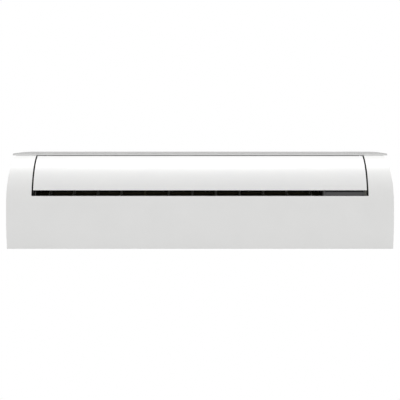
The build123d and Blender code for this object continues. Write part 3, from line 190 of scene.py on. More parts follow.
def layFinish(tree, shader, colour, gloss, relief, fixed):
    # colour and gloss are links, or a noise and the two colours or roughnesses that it runs between. relief
    # is a height and its depth in mm, and fixed holds what is the same all over.
    if isinstance(colour, tuple):
        noise, first, second = colour
        share = addNode(tree, "MapRange", None, {"Value": noise, **noiseSpan})
        colour = addNode(tree, "Mix", {"data_type": "RGBA"},
                         {"Factor": share, 6: linearOf(first), 7: linearOf(second)}).outputs[2]
    if isinstance(gloss, tuple):
        noise, low, high = gloss
        gloss = addNode(tree, "MapRange", None,
                        {"Value": noise, **noiseSpan, "To Min": low, "To Max": high})
    height, depth = relief
    bump = addNode(tree, "Bump", None, {"Height": height, "Strength": 1.0, "Distance": depth / 1000})
    feed(tree, shader, {"Base Color": colour, "Roughness": gloss, "Normal": bump, **fixed})


def mouldedPlastic(name, colour, mottle, roughness, grain, depth, ior=1.53):
    # injection-moulded plastic: an even colour with a faint cloudiness where the melt flowed, and the fine
    # grain of the tool in its bump and gloss. Grain is drawn at grain mm, coarser than the 0.1 mm of a tool.
    material, tree, shader, place = startFinish(name)
    cloud = addNode(tree, "TexNoise", None, {"Vector": place, "Scale": perMetre(90.0), "Detail": 3.0})
    gloss = addNode(tree, "TexNoise", None, {"Vector": place, "Scale": perMetre(35.0)})
    fine = addNode(tree, "TexNoise", None,
                   {"Vector": place, "Scale": perMetre(grain), "Detail": 4.0, "Roughness": 0.6})
    spread = 0.04
    layFinish(tree, shader, (cloud, colour, mottle), (gloss, roughness - spread, roughness + spread),
              (fine, depth), {"IOR": ior})
    return material


def coverPlastic(name):
    # matt pale grey ABS. Its flat top is painted darker, from just inside the rim: painted shade that holds
    # down the top lamp's light on it.
    material, tree, shader, place = startFinish(name)
    rimHeight, topHeight = 0.1202, 0.1212
    height = addNode(tree, "SeparateXYZ", None, {"Vector": place}).outputs["Z"]
    # painted shade: the colour runs from the rim's grey to a darker grey across the flat top
    paintedTopShade = addNode(tree, "MapRange", {"interpolation_type": "SMOOTHSTEP"},
                    {"Value": height, "From Min": rimHeight, "From Max": topHeight})
    colour = addNode(tree, "Mix", {"data_type": "RGBA"},
                     {"Factor": paintedTopShade, 6: linearOf("#dadad9"), 7: linearOf("#b1b1b0")}).outputs[2]
    gloss = addNode(tree, "TexNoise", None, {"Vector": place, "Scale": perMetre(35.0)})
    fine = addNode(tree, "TexNoise", None,
                   {"Vector": place, "Scale": perMetre(1.2), "Detail": 4.0, "Roughness": 0.6})
    layFinish(tree, shader, colour, (gloss, 0.5, 0.6), (fine, 0.008), {"Specular IOR Level": 0.05})
    return material


def chassisPlastic(name):
    # pale grey polystyrene; the end plates that stand beside the outlet are painted black, as painted shade,
    # so their lit ends don't show in it
    material, tree, shader, place = startFinish(name)
    greyAt, shadeFullAt = (-0.112, -0.002), (-0.116, 0.002)        # Y and Z, in metres
    axes = addNode(tree, "SeparateXYZ", None, {"Vector": place})
    forward = addNode(tree, "MapRange", None,
                      {"Value": axes.outputs["Y"], "From Min": greyAt[0], "From Max": shadeFullAt[0]})
    raised = addNode(tree, "MapRange", None,
                     {"Value": axes.outputs["Z"], "From Min": greyAt[1], "From Max": shadeFullAt[1]})
    # painted shade: fully black ahead of Y -0.116 m and above Z 0.002 m
    black = addNode(tree, "Math", {"operation": "MULTIPLY"}, {0: forward, 1: raised})
    cloud = addNode(tree, "TexNoise", None, {"Vector": place, "Scale": perMetre(90.0), "Detail": 3.0})
    share = addNode(tree, "MapRange", None, {"Value": cloud, **noiseSpan})
    grey = addNode(tree, "Mix", {"data_type": "RGBA"},
                   {"Factor": share, 6: linearOf("#c9c9c6"), 7: linearOf("#c1c1be")}).outputs[2]
    colour = addNode(tree, "Mix", {"data_type": "RGBA"},
                     {"Factor": black, 6: grey, 7: linearOf("#10100c")}).outputs[2]
    gloss = addNode(tree, "TexNoise", None, {"Vector": place, "Scale": perMetre(35.0)})
    fine = addNode(tree, "TexNoise", None,
                   {"Vector": place, "Scale": perMetre(1.6), "Detail": 4.0, "Roughness": 0.6})
    layFinish(tree, shader, colour, (gloss, 0.5, 0.6), (fine, 0.015), {})
    return material


def drawnMetal(name, colour, dark, roughness, along, streak, depth):
    # drawn or turned metal: fine streaks that follow the direction it was pulled or turned in, with dull
    # patches where hands and air have been. Streaks are drawn streak mm apart.
    material, tree, shader, place = startFinish(name)
    stretch = [1.0, 1.0, 1.0]
    stretch["XYZ".index(along)] = 0.03
    pulled = addNode(tree, "Mapping", {"vector_type": "POINT"}, {"Vector": place, "Scale": stretch})
    lines = addNode(tree, "TexNoise", None,
                    {"Vector": pulled, "Scale": perMetre(streak), "Detail": 3.0, "Roughness": 0.65})
    patch = addNode(tree, "TexNoise", None,
                    {"Vector": place, "Scale": perMetre(28.0), "Detail": 4.0, "Roughness": 0.6})
    polished, dulled = roughness - 0.08, roughness + 0.12
    layFinish(tree, shader, (patch, colour, dark), (lines, polished, dulled), (lines, depth),
              {"Metallic": 1.0})
    return material


def galvanised(name):
    # hot-dip galvanised sheet: zinc crystals about 9 mm wide, each a little lighter or darker than the next
    material, tree, shader, place = startFinish(name)
    crystals = {"Vector": place, "Scale": perMetre(9.0), "Randomness": 1.0}
    cell = addNode(tree, "TexVoronoi", {"feature": "F1"}, crystals)
    edge = addNode(tree, "TexVoronoi", {"feature": "DISTANCE_TO_EDGE"}, crystals)
    tone = addNode(tree, "SeparateColor", None, {"Color": cell.outputs["Color"]})
    colour = addNode(tree, "Mix", {"data_type": "RGBA"},
                     {"Factor": tone, 6: linearOf("#b4b8ba"), 7: linearOf("#9ca2a6")}).outputs[2]
    gloss = addNode(tree, "MapRange", None, {"Value": tone, "To Min": 0.32, "To Max": 0.52})
    layFinish(tree, shader, colour, gloss, (edge.outputs["Distance"], 0.05), {"Metallic": 1.0})
    return material


def smokedGlassPlastic(name):
    # polycarbonate with a dark infrared dye: glossy and nearly black
    material, tree, shader, place = startFinish(name)
    cloud = addNode(tree, "TexNoise", None, {"Vector": place, "Scale": perMetre(20.0)})
    gloss = addNode(tree, "TexNoise", None, {"Vector": place, "Scale": perMetre(6.0)})
    fine = addNode(tree, "TexNoise", None, {"Vector": place, "Scale": perMetre(3.0), "Detail": 3.0})
    layFinish(tree, shader, (cloud, "#1e1e21", "#18181a"), (gloss, 0.08, 0.16), (fine, 0.004), {"IOR": 1.42})
    return material


def finStock(name):
    # aluminium fin stock with its pale blue water-shedding lacquer, slightly uneven from the roller
    material, tree, shader, place = startFinish(name)
    patch = addNode(tree, "TexNoise", None, {"Vector": place, "Scale": perMetre(60.0), "Detail": 3.0})
    gloss = addNode(tree, "TexNoise", None, {"Vector": place, "Scale": perMetre(4.0), "Detail": 3.0})
    fine = addNode(tree, "TexNoise", None, {"Vector": place, "Scale": perMetre(2.0), "Detail": 3.0})
    layFinish(tree, shader, (patch, "#b9c6d2", "#a9b9c8"), (gloss, 0.3, 0.45), (fine, 0.02),
              {"Metallic": 0.85})
    return material


def circuitBoard(name):
    # green solder mask over copper tracks, which show as slightly lighter lines 3 mm apart
    material, tree, shader, place = startFinish(name)
    tracks = addNode(tree, "TexBrick", {"offset": 0.5},
                     {"Vector": place, "Scale": perMetre(12.0), "Mortar Size": 0.06, "Mortar Smooth": 0.2,
                      "Color1": linearOf("#1c5a34"), "Color2": linearOf("#1a5230"),
                      "Mortar": linearOf("#2f7a49")})
    gloss = addNode(tree, "TexNoise", None, {"Vector": place, "Scale": perMetre(5.0)})
    layFinish(tree, shader, tracks.outputs["Color"], (gloss, 0.25, 0.4), (tracks.outputs["Fac"], 0.03), {})
    return material


def sinteredBronze(name):
    # pressed and sintered bronze powder: matt brown-gold with dark pores, drawn 0.8 mm apart
    material, tree, shader, place = startFinish(name)
    grain = addNode(tree, "TexNoise", None,
                    {"Vector": place, "Scale": perMetre(0.8), "Detail": 4.0, "Roughness": 0.7})
    layFinish(tree, shader, (grain, "#a5854e", "#7d6238"), (grain, 0.45, 0.65), (grain, 0.04),
              {"Metallic": 1.0})
    return material


finishes = {
    # satin ABS from a finely grained tool, wiped clean
    "casing_white": mouldedPlastic("whiteAbs", "#e6e6e5", "#e4e4e3", 0.42, 1.2, 0.004),
    "flap_white": mouldedPlastic("whiteAbsFlap", "#e6e6e5", "#e4e4e4", 0.42, 1.2, 0.004),
    "cover_grey": coverPlastic("paleGreyAbs"),
    "liner_white": mouldedPlastic("whiteAbsLiner", "#dededd", "#d9d9d8", 0.5, 1.6, 0.010),
    "grille_white": mouldedPlastic("whiteAbsGrille", "#e2e2e1", "#dededd", 0.45, 1.4, 0.006),
    "dark_grey_plastic": mouldedPlastic("darkGreyAbs", "#3c3c3c", "#383838", 0.5, 0.9, 0.015),
    "smoked_window": smokedGlassPlastic("smokedPolycarbonate"),
    "galvanised_steel": galvanised("galvanisedSheet"),
    "chassis_plastic": chassisPlastic("greyPolystyrene"),
    "duct_black": mouldedPlastic("blackPolystyreneDuct", "#46442f", "#3e3c2a", 0.75, 1.2, 0.02, 1.35),
    "vane_black": mouldedPlastic("blackPolypropyleneVane", "#66665e", "#5e5e57", 0.6, 0.8, 0.01, 1.45),
    "fan_plastic": mouldedPlastic("blackGlassFilledPlastic", "#1e1e1d", "#191918", 0.62, 0.7, 0.02, 1.4),
    "bright_steel": drawnMetal("groundSteel", "#b9babd", "#a3a4a8", 0.25, "X", 0.6, 0.006),
    "bronze_bush": sinteredBronze("sinteredBronze"),
    "black_rubber": mouldedPlastic("blackRubber", "#1b1b1b", "#232322", 0.8, 0.8, 0.03, 1.5),
    "motor_shell": drawnMetal("zincPlatedSteel", "#a9adb0", "#8f9498", 0.4, "X", 1.2, 0.01),
    "fin_aluminium": finStock("lacqueredAluminium"),
    "copper_tube": drawnMetal("drawnCopper", "#c98158", "#9c5c3c", 0.3, "X", 0.8, 0.01),
    "brass_nut": drawnMetal("turnedBrass", "#c9a95b", "#b08f45", 0.28, "Y", 0.5, 0.01),
    "box_plastic": mouldedPlastic("greyFlameproofAbs", "#8f9091", "#878889", 0.5, 1.2, 0.015),
    "circuit_board": circuitBoard("solderMask"),
    "terminal_plastic": mouldedPlastic("blackPolyamide", "#262626", "#1f1f1f", 0.5, 0.9, 0.012),
    "black_plastic": mouldedPlastic("blackPolyamideGland", "#141414", "#1c1c1c", 0.45, 0.9, 0.012),
    "bush_plastic": mouldedPlastic("blackAcetal", "#242424", "#1e1e1e", 0.35, 1.0, 0.006),
    "filter_frame": mouldedPlastic("greyPolypropylene", "#4a4e55", "#43474d", 0.5, 1.0, 0.012),
    "filter_mesh": mouldedPlastic("polypropyleneThread", "#565a5f", "#4d5156", 0.55, 0.6, 0.008),
}
slotOf = {entry["node"]: entry["material_slot"] for entry in frame["record"]["subparts"]}
dressed = set()
bodyOf = {node: body for body, nodes in frame["record"]["behaviour"]["bodies"].items() for node in nodes}
print("finishes made:", len(finishes))


# ---- shapes shared by the pieces

def joined(pieces):
    # several (points, faces) as one
    points, faces, offset = [], [], 0
    for piecePoints, pieceFaces in pieces:
        points.append(np.asarray(piecePoints, float))
        faces += [[index + offset for index in face] for face in pieceFaces]
        offset += len(piecePoints)
    return np.concatenate(points), faces


def welded(points, faces):
    # points in the same place, to 0.001 mm, become one, and faces that lose their area go
    _, first, same = np.unique(np.round(points, 3), axis=0, return_index=True, return_inverse=True)
    same = same.reshape(-1)
    keptFaces = []
    for face in faces:
        ring = [int(same[i]) for i in face]
        ring = [i for k, i in enumerate(ring) if i != ring[k - 1]]
        if len(set(ring)) > 2:
            keptFaces.append(ring)
    return points[first], keptFaces


def gridFaces(rows, columns, keep=None, flip=False):
    # quads of a rows by columns grid of points, only where keep is true
    i, j = np.meshgrid(np.arange(rows - 1), np.arange(columns - 1), indexing="ij")
    corner = i * columns + j
    quads = np.stack([corner, corner + 1, corner + columns + 1, corner + columns], -1)
    quads = quads[keep] if keep is not None else quads.reshape(-1, 4)
    return (quads[:, ::-1] if flip else quads).tolist()


def prism(outline, start, end, axis):
    # a closed outline carried along an axis. The outline's two coordinates are the other two axes in the
    # order Y, Z for X; X, Z for Y; X, Y for Z. It may turn either way round.
    outline = np.asarray(outline, float)
    count = len(outline)
    area = np.sum(outline[:, 0] * np.roll(outline[:, 1], -1) - np.roll(outline[:, 0], -1) * outline[:, 1])
    ahead = area > 0 if axis != "Y" else area < 0
    if not ahead:
        outline = outline[::-1]
    others = [k for k in range(3) if k != "XYZ".index(axis)]
    points = np.zeros((2 * count, 3))
    points[:count, others] = outline
    points[count:, others] = outline
    points[:count, "XYZ".index(axis)] = start
    points[count:, "XYZ".index(axis)] = end
    k = np.arange(count)
    after = (k + 1) % count
    sides = np.stack([k, after, after + count, k + count], 1).tolist()
    return points, sides + [list(range(count))[::-1], list(range(count, 2 * count))]


def bar(axis, centre, radius, start, end, sides=24):
    # a round bar: the circle centre + radius * (cos t, sin t) carried along an axis
    turn = np.arange(sides) * 2 * np.pi / sides
    circle = np.stack([centre[0] + radius * np.cos(turn), centre[1] + radius * np.sin(turn)], 1)
    return prism(circle, start, end, axis)


def arcPoints(centre, radius, low, high, count):
    # (Y, Z) on a circle from one angle up from the front to another
    turn = np.radians(np.linspace(low, high, count))
    return np.stack([centre[0] - radius * np.cos(turn), centre[1] + radius * np.sin(turn)], 1)


def block(xRange, yRange, zRange):
    # a plain box
    (x0, x1), (y0, y1) = xRange, yRange
    return prism([(x0, y0), (x1, y0), (x1, y1), (x0, y1)], *zRange, "Z")


def atHeight(flat, z):
    # a sheet laid out in X and Y, put at one height
    return np.concatenate([flat, np.full(flat.shape[:2] + (1,), z)], -1).reshape(-1, 3)


def holedSheet(uLines, vLines, place, isOpen, roundHoles=()):
    # a grid of u and v lines laid out by place(u, v) in its own plane, without the cells where isOpen says
    # so. Each round hole (u, v, half u, half v, radius) opens the cells inside its halves and moves the
    # points on their border straight out or in to the circle.
    u, v = np.meshgrid(np.asarray(uLines, float), np.asarray(vLines, float))
    flat = np.stack(place(u, v), -1)
    midU = (u[:-1, :-1] + u[1:, 1:]) / 2
    midV = (v[:-1, :-1] + v[1:, 1:]) / 2
    keep = ~isOpen(midU, midV)
    for holeU, holeV, halfU, halfV, radius in roundHoles:
        keep &= ~((abs(midU - holeU) < halfU) & (abs(midV - holeV) < halfV))
        near = (abs(u - holeU) < halfU + 1e-6) & (abs(v - holeV) < halfV + 1e-6)
        inside = (abs(u - holeU) < halfU - 1e-6) & (abs(v - holeV) < halfV - 1e-6)
        centre = np.array(place(np.array([[holeU]], float), np.array([[holeV]], float))).reshape(2)
        away = flat - centre
        length = np.maximum(np.linalg.norm(away, axis=-1, keepdims=True), 1e-6)
        flat = np.where((near & ~inside)[..., None], centre + away / length * radius, flat)
    return flat, keep


def usedOnly(points, faces):
    # points that no face uses are left out
    used = np.unique(np.concatenate([np.asarray(face) for face in faces]))
    number = np.full(len(points), -1)
    number[used] = np.arange(len(used))
    return points[used], [[int(number[i]) for i in face] for face in faces]


def makePiece(name, shape, nodes, wall=0.0, edge=0.0, segments=2, sharp=32.0, weld=True, finish=None):
    # a piece from (points, faces) in millimetres that stands for CAD nodes and rides on their body
    points, faces = welded(*shape) if weld else shape
    points, faces = usedOnly(points, faces)
    mesh = bpy.data.meshes.new(name)
    mesh.from_pydata((points / 1000).tolist(), [], faces)
    mesh.validate()
    mesh.polygons.foreach_set("use_smooth", [True] * len(mesh.polygons))
    mesh.set_sharp_from_angle(angle=math.radians(sharp))
    slotName = finish or slotOf[nodes[0]]
    mesh.materials.append(finishes[slotName])
    piece = bpy.data.objects.new(name, mesh)
    bpy.context.scene.collection.objects.link(piece)
    if wall:
        solid = piece.modifiers.new("wall", "SOLIDIFY")
        solid.thickness = wall / 1000
        solid.offset = -1.0
        solid.use_even_offset = True
        solid.use_quality_normals = True
    if edge:
        bevel = piece.modifiers.new("edge", "BEVEL")
        bevel.width = edge / 1000
        bevel.segments = segments
        bevel.limit_method = "ANGLE"
        bevel.angle_limit = math.radians(sharp)
        bevel.harden_normals = True
        bevel.use_clamp_overlap = True
    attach(piece, bodyOf[nodes[0]])
    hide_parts(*nodes)
    dressed.update(nodes)


# ---- front casing

casing = {
    "halfFront": 500.0, "taper": 0.13, "frontY": -210.0, "bottomZ": -121.5, "coverZ": 116.5, "backY": -1.0,
    "footTopZ": -31.5, "footRadius": 510.25, "browCentre": (-85.0, -4.0), "browRadius": 125.0,
    "coverSeal": (-430.0, -410.0, -112.0, -106.0, 111.0, 116.5),     # closes the gap beside the fan
    "mouthSeal": (-434.5, -428.2, -175.0, -170.0, 10.0, 45.0),       # painted shade: a black block that darkens the gap beside the slot's left end
    "sillZ": 15.7, "mouthHalf": 435.0, "wall": 2.5, "edge": 0.3, "foam": 0.4,
    "cornerRadius": 45.0, "cheekDepth": 27.0, "cheekRing": 103.0, "cheekInset": 1.2,
    "pivot": (-127.898, 100.0), "bushHole": 5.05,
    "mouth": (-420.0, 310.0, -162.0, -28.0),
    "filterSlots": ((-423.0, -59.75), (-47.75, 315.5)), "filterSlotY": (-191.5, -169.8),
    "passage": (410.7, -84.0, -81.5),
    "screws": (-380.0, 0.0, 380.0), "screwY": -12.0, "screwHole": 3.5, "cableHole": (415.0, -110.0, 7.0),
    "hingeBosses": ((-425.0, -420.0), (310.0, 315.0)), "bossY": (-38.0, -30.0), "bossZ": (-119.5, -115.0),
    # lines of the mesh besides those at edges and holes: up the front, across it and back from it
    "footLines": (-121.5, -118.0, -112.0, -104.0, -96.0, -88.0, -81.5, -74.0, -66.0, -56.0, -46.0,
                  -38.0, -31.5),
    "flatLines": (-24.0, -14.0, -4.0),
    "columnShares": (0.0, 0.35, 0.7, 0.93),      # from the outer end to the mouth's side
    "columnLines": (-300.0, -220.0, -140.0, 80.0, 160.0, 240.0),
    "aheadLines": (-150.0, -136.0), "behindLines": (-74.0, -64.0, -54.0, -46.0, -39.2, -34.0, -23.0, -3.2),
}


def cornerCentre():
    # middle of the round rear corner, tangent to the tapered side and to the wall plane
    slant = math.hypot(1.0, casing["taper"])
    rearHalf = casing["halfFront"] - casing["taper"] * -casing["frontY"]
    radius = casing["cornerRadius"]
    x = rearHalf + casing["taper"] * radius - radius * slant
    return x, -radius, slant


def halfWidth(y, grow=0.0):
    # half width in plan: a straight taper, then the round rear corner, grown outwards by grow
    x, cornerY, slant = cornerCentre()
    radius = casing["cornerRadius"] + grow
    straight = casing["halfFront"] - casing["taper"] * (y - casing["frontY"]) + grow * slant
    tangentY = cornerY + radius * casing["taper"] / slant
    rounded = x + np.sqrt(np.maximum(radius ** 2 - (y - cornerY) ** 2, 0.0))
    return np.where(y > tangentY, rounded, straight)


def browAngle(z, radius):
    # how far up the round front a height is, in degrees, on a circle about the middle of the brow
    return math.degrees(math.asin((z - casing["browCentre"][1]) / radius))


def frontProfile():
    # heights up the front, and how far out the front is at each: foot arc, flat, brow arc
    centreY, centreZ = casing["browCentre"]
    sillAngle = browAngle(casing["sillZ"], casing["browRadius"])
    topAngle = browAngle(casing["coverZ"], casing["browRadius"])
    angles = np.concatenate([[3.0, 6.0, sillAngle, sillAngle + 2.7],
                             np.arange(15.0, topAngle - 1.5, 3.0), [topAngle]])
    footZ = np.array(casing["footLines"])
    sag = casing["footRadius"] - np.sqrt(casing["footRadius"] ** 2 - (footZ - casing["footTopZ"]) ** 2)
    turn = np.radians(angles)
    radius = casing["browRadius"]
    brow = np.stack([centreY - radius * np.cos(turn), centreZ + radius * np.sin(turn)], 1)
    z = np.concatenate([footZ, casing["flatLines"], brow[:, 1]])
    y = np.concatenate([casing["frontY"] + sag, [casing["frontY"]] * len(casing["flatLines"]), brow[:, 0]])
    return y, z


holeShare = 0.85        # half the side of the square of cells that a round hole opens, in radii


def holeLines(centre, radius, guard):
    # lines of the mesh through a round hole and a little outside it
    half = holeShare * radius
    return [centre - half - guard, centre - half, centre - half / 2, centre,
            centre + half / 2, centre + half, centre + half + guard]


def casingSkin():
    # the skin is a front wrap, two sides and a floor that share the points along their edges
    cableX, cableY, cableRadius = casing["cableHole"]
    inner = {-casing["mouthHalf"], casing["mouthHalf"], *casing["mouth"][:2], casing["passage"][0]}
    inner |= {x for slotRange in casing["filterSlots"] for x in slotRange}
    inner |= {x for screwX in casing["screws"] for x in holeLines(screwX, casing["screwHole"], 2.5)}
    inner |= set(holeLines(cableX, cableRadius, 3.0))
    inner = np.array(sorted(inner | set(casing["columnLines"])))
    outer = np.array(casing["columnShares"])
    y, z = frontProfile()

    def columnsAt(half):
        leftSide = -half + (half - casing["mouthHalf"]) * outer
        return np.concatenate([leftSide, inner, -leftSide[::-1]])

    xFront = np.stack([columnsAt(half) for half in halfWidth(y)])
    columns = xFront.shape[1]
    wrap = np.stack([xFront, np.repeat(y[:, None], columns, 1), np.repeat(z[:, None], columns, 1)], -1)
    midX = (xFront[:-1, :-1] + xFront[1:, 1:]) / 2
    midZ = np.repeat(((z[:-1] + z[1:]) / 2)[:, None], columns - 1, 1)
    keepWrap = ~((abs(midX) < casing["mouthHalf"]) & (midZ > casing["sillZ"]))
    pieces = [(wrap.reshape(-1, 3), gridFaces(len(z), columns, keepWrap))]

    # lines across the depth: those ahead of the passage stretch with the front, the rest stay put
    passageX, passageY, passageZ = casing["passage"]
    ahead = sorted({y[0], *casing["filterSlotY"], casing["mouth"][2], *casing["aheadLines"], passageY,
                    *holeLines(cableY, cableRadius, 3.0)})
    behind = sorted({*casing["behindLines"], casing["mouth"][3], casing["backY"],
                     *holeLines(casing["screwY"], casing["screwHole"], 2.5)})
    ahead, behind = np.array(ahead), np.array(behind)
    stretch = (y[:, None] - passageY) / (y[0] - passageY)
    depthLines = np.concatenate([passageY + (ahead - passageY)[None] * stretch,
                                 np.repeat(behind[None], len(y), 0)], 1)
    halves = halfWidth(depthLines)
    height = np.repeat(z[:, None], depthLines.shape[1], 1)
    midY = (depthLines[:-1, :-1] + depthLines[1:, 1:]) / 2
    midHeight = (height[:-1, :-1] + height[1:, 1:]) / 2
    for side in (-1, 1):
        keepSide = np.ones(midY.shape, bool)
        if side > 0:
            keepSide = ~((midY > passageY) & (midHeight < passageZ))
        wallGrid = np.stack([side * halves, depthLines, height], -1)
        pieces.append((wallGrid.reshape(-1, 3), gridFaces(*depthLines.shape, keepSide, flip=side < 0)))

    # floor: the same columns and depth lines, with the mouth, slots, passage and holes left open
    floorY = depthLines[0]
    floorX = np.stack([columnsAt(half) for half in halfWidth(floorY)])
    rank = np.arange(columns, dtype=float)

    def placeFloor(u, v):
        row = np.searchsorted(floorY, v.ravel()).clip(0, len(floorY) - 1)
        x = [np.interp(column, rank, floorX[line]) for column, line in zip(u.ravel(), row)]
        return np.array(x).reshape(u.shape), v

    innerRank = {round(float(x), 4): len(outer) + k for k, x in enumerate(inner)}

    def rankOf(x):
        return innerRank[round(float(x), 4)]

    def openFloor(u, v):
        x0, x1 = rankOf(casing["mouth"][0]), rankOf(casing["mouth"][1])
        opened = (u > x0) & (u < x1) & (v > casing["mouth"][2]) & (v < casing["mouth"][3])
        slotFront, slotRear = casing["filterSlotY"]
        for low, high in casing["filterSlots"]:
            opened |= (u > rankOf(low)) & (u < rankOf(high)) & (v > slotFront) & (v < slotRear)
        return opened | ((u > rankOf(passageX)) & (v > passageY))

    roundHoles = []
    screwHoles = [(x, casing["screwY"], casing["screwHole"]) for x in casing["screws"]]
    for holeX, holeY, radius in [*screwHoles, casing["cableHole"]]:
        half = holeShare * radius
        lowRank, highRank = rankOf(holeX - half), rankOf(holeX + half)
        roundHoles.append((rankOf(holeX), holeY, (highRank - lowRank) / 2, half, radius))
    flat, keepFloor = holedSheet(rank, floorY, placeFloor, openFloor, roundHoles)
    pieces.append((atHeight(flat, casing["bottomZ"]), gridFaces(len(floorY), columns, keepFloor, flip=True)))
    return joined(pieces)


def cheekWall(x):
    # one face of a ring sector about the middle of the brow, with the hole of the flap's bush
    centre = casing["browCentre"]
    pivotY, pivotZ = casing["pivot"]
    reach = math.hypot(pivotY - centre[0], pivotZ - centre[1])
    lean = math.degrees(math.atan2(pivotZ - centre[1], centre[0] - pivotY))
    hole = casing["bushHole"]
    low = browAngle(casing["sillZ"], casing["browRadius"])
    high = browAngle(casing["coverZ"], casing["browRadius"])
    halfTurn = math.degrees(holeShare * hole / reach)
    radii = [casing["browRadius"] - casing["cheekDepth"], casing["cheekRing"], *holeLines(reach, hole, 2.0),
             casing["browRadius"] - casing["cheekInset"]]
    turns = sorted({low, *np.arange(low + 4, lean - halfTurn - 1.5, 4.0), lean - halfTurn,
                    lean - halfTurn / 2, lean, lean + halfTurn / 2, lean + halfTurn, high})

    def placeWall(u, v):
        return centre[0] - u * np.cos(np.radians(v)), centre[1] + u * np.sin(np.radians(v))

    flat, keep = holedSheet(radii, turns, placeWall, lambda u, v: u < 0,
                            [(reach, lean, holeShare * hole, halfTurn, hole)])
    points = np.concatenate([np.full(flat.shape[:2] + (1,), x), flat], -1).reshape(-1, 3)
    return points, gridFaces(len(turns), len(radii), keep, flip=True)


def makeCasing():
    makePiece("frontCasing", casingSkin(), ["front_casing"], wall=casing["wall"], edge=casing["edge"],
              segments=3)
    # each cheek's wall stands outside the mouth and a thin black sheet inside it. The black sheet is painted
    # shade: it darkens the gaps at the ends of the flap and draws the flap's dark outline.
    mouth, wall, foam = casing["mouthHalf"], casing["wall"], casing["foam"]
    for name, x in (("cheekWallLeft", -mouth), ("cheekWallRight", mouth + wall)):
        makePiece(name, cheekWall(x), ["front_casing"], wall=wall, edge=0.4)
    # painted shade: thin black sheets on the cheeks' inner faces
    for name, x in (("cheekFoamLeft", foam - mouth), ("cheekFoamRight", mouth)):
        makePiece(name, cheekWall(x), ["front_casing"], wall=foam, finish="black_rubber")
    # the slot pad is painted shade, a black block beside the slot's left end; the cover seal closes the gap
    # beside the fan
    for name in ("coverSeal", "mouthSeal"):
        x0, x1, y0, y1, z0, z1 = casing[name]
        makePiece(name + "Foam", block((x0, x1), (y0, y1), (z0, z1)), ["front_casing"], edge=0.5,
                  finish="black_rubber")
    bosses = [block(span, casing["bossY"], casing["bossZ"]) for span in casing["hingeBosses"]]
    makePiece("grilleHingeBosses", joined(bosses), ["front_casing"], edge=0.4)


makeCasing()
print("front casing made")


# ---- top cover

cover = {
    "frontY": -119.4, "backY": -1.0, "bottomZ": 116.5, "topZ": 121.5, "overhang": 9.5, "edgeRound": 1.2,
    "underRound": 0.35, "straightTo": -40.0, "cornerFrom": -37.0,
    "lipInset": 2.8, "lipWall": 2.0, "lipHeight": 4.5, "lipY": (-98.67, -49.0),
}


def coverOutline(grow, frontY, backY):
    # half plan from the front corner to the back, mirrored to the other side
    y = np.concatenate([np.linspace(frontY, cover["straightTo"], 9),
                        np.linspace(cover["cornerFrom"], backY, 20)])
    right = np.stack([halfWidth(y, grow), y], 1)
    return np.concatenate([right, right[::-1] * [-1, 1]])


def makeCover():
    # the edge's height follows a quarter circle as the outline shrinks, so the rim is round all the way
    rounding = cover["edgeRound"]
    turn = np.radians(np.linspace(0, 90, 7))
    steps = [(cover["bottomZ"], -cover["underRound"]), (cover["bottomZ"] + cover["underRound"], 0.0)]
    steps += [(cover["topZ"] - rounding + rounding * math.sin(a), -rounding * (1 - math.cos(a)))
              for a in turn]
    rings = []
    for z, shrink in steps:
        ring = coverOutline(cover["overhang"] + shrink, cover["frontY"] - shrink, cover["backY"] + shrink)
        rings.append(np.column_stack([ring, np.full(len(ring), z)]))
    grid = np.stack(rings)
    rows, count = grid.shape[:2]
    loop = np.concatenate([grid, grid[:, :1]], 1)
    faces = gridFaces(rows, count + 1)
    points = loop.reshape(-1, 3)
    under = list(range(count))[::-1]
    over = [(rows - 1) * (count + 1) + k for k in range(count)]
    lip = []
    for side in (-1, 1):
        y = np.linspace(*cover["lipY"], 6)
        outer = np.stack([halfWidth(y, -cover["lipInset"]), y], 1)
        inner = np.stack([halfWidth(y, -cover["lipInset"] - cover["lipWall"]), y], 1)[::-1]
        lip.append(prism(np.concatenate([outer, inner]) * [side, 1], cover["bottomZ"] - cover["lipHeight"],
                         cover["bottomZ"], "Z"))
    makePiece("topCover", joined([(points, faces + [under, over]), *lip]), ["top_cover"], sharp=40.0)


makeCover()
print("top cover made")


# ---- flap

flap = {
    "half": 430.9, "lowZ": 30.15, "highZ": 115.2, "skin": 3.0, "endWall": 2.6, "depth": 9.0, "edge": 0.3,
    "lipRise": 0.6, "arcPoints": 33, "stations": 15,
    "linerHalf": 427.6, "linerSkin": (3.1, 9.0), "linerRise": 1.4, "linerLip": 0.4, "linerHighZ": 110.0,
    "ear": (7.0, 4.0), "pin": 3.0, "pinEnds": (-439.5, 446.5),
}


def flapSection(outerDepth, innerDepth, lowZ, innerLowZ, highZ):
    # two arcs about the middle of the brow, and the first point again. The lower edge climbs a little
    # inwards, out of sight from the front.
    centre, radius, count = casing["browCentre"], casing["browRadius"], flap["arcPoints"]
    low, high = browAngle(lowZ, radius - outerDepth), browAngle(highZ, radius - outerDepth)
    outer = arcPoints(centre, radius - outerDepth, low, high, count)
    inner = arcPoints(centre, radius - innerDepth, high, browAngle(innerLowZ, radius - innerDepth), count)
    return np.concatenate([outer, inner, outer[:1]])


def sectionAlong(stations):
    # (x, section) pairs joined into one closed shape, with quads between the two arcs across its ends
    grid = np.stack([np.column_stack([np.full(len(section), x), section]) for x, section in stations])
    rows, count = grid.shape[:2]
    ends = []
    for first, flip in ((0, False), ((rows - 1) * count, True)):
        last = first + 2 * flap["arcPoints"] - 1
        for k in range(flap["arcPoints"] - 1):
            quad = [first + k, first + k + 1, last - 1 - k, last - k]
            ends.append(quad[::-1] if flip else quad)
    return grid.reshape(-1, 3), gridFaces(rows, count, flip=True) + ends


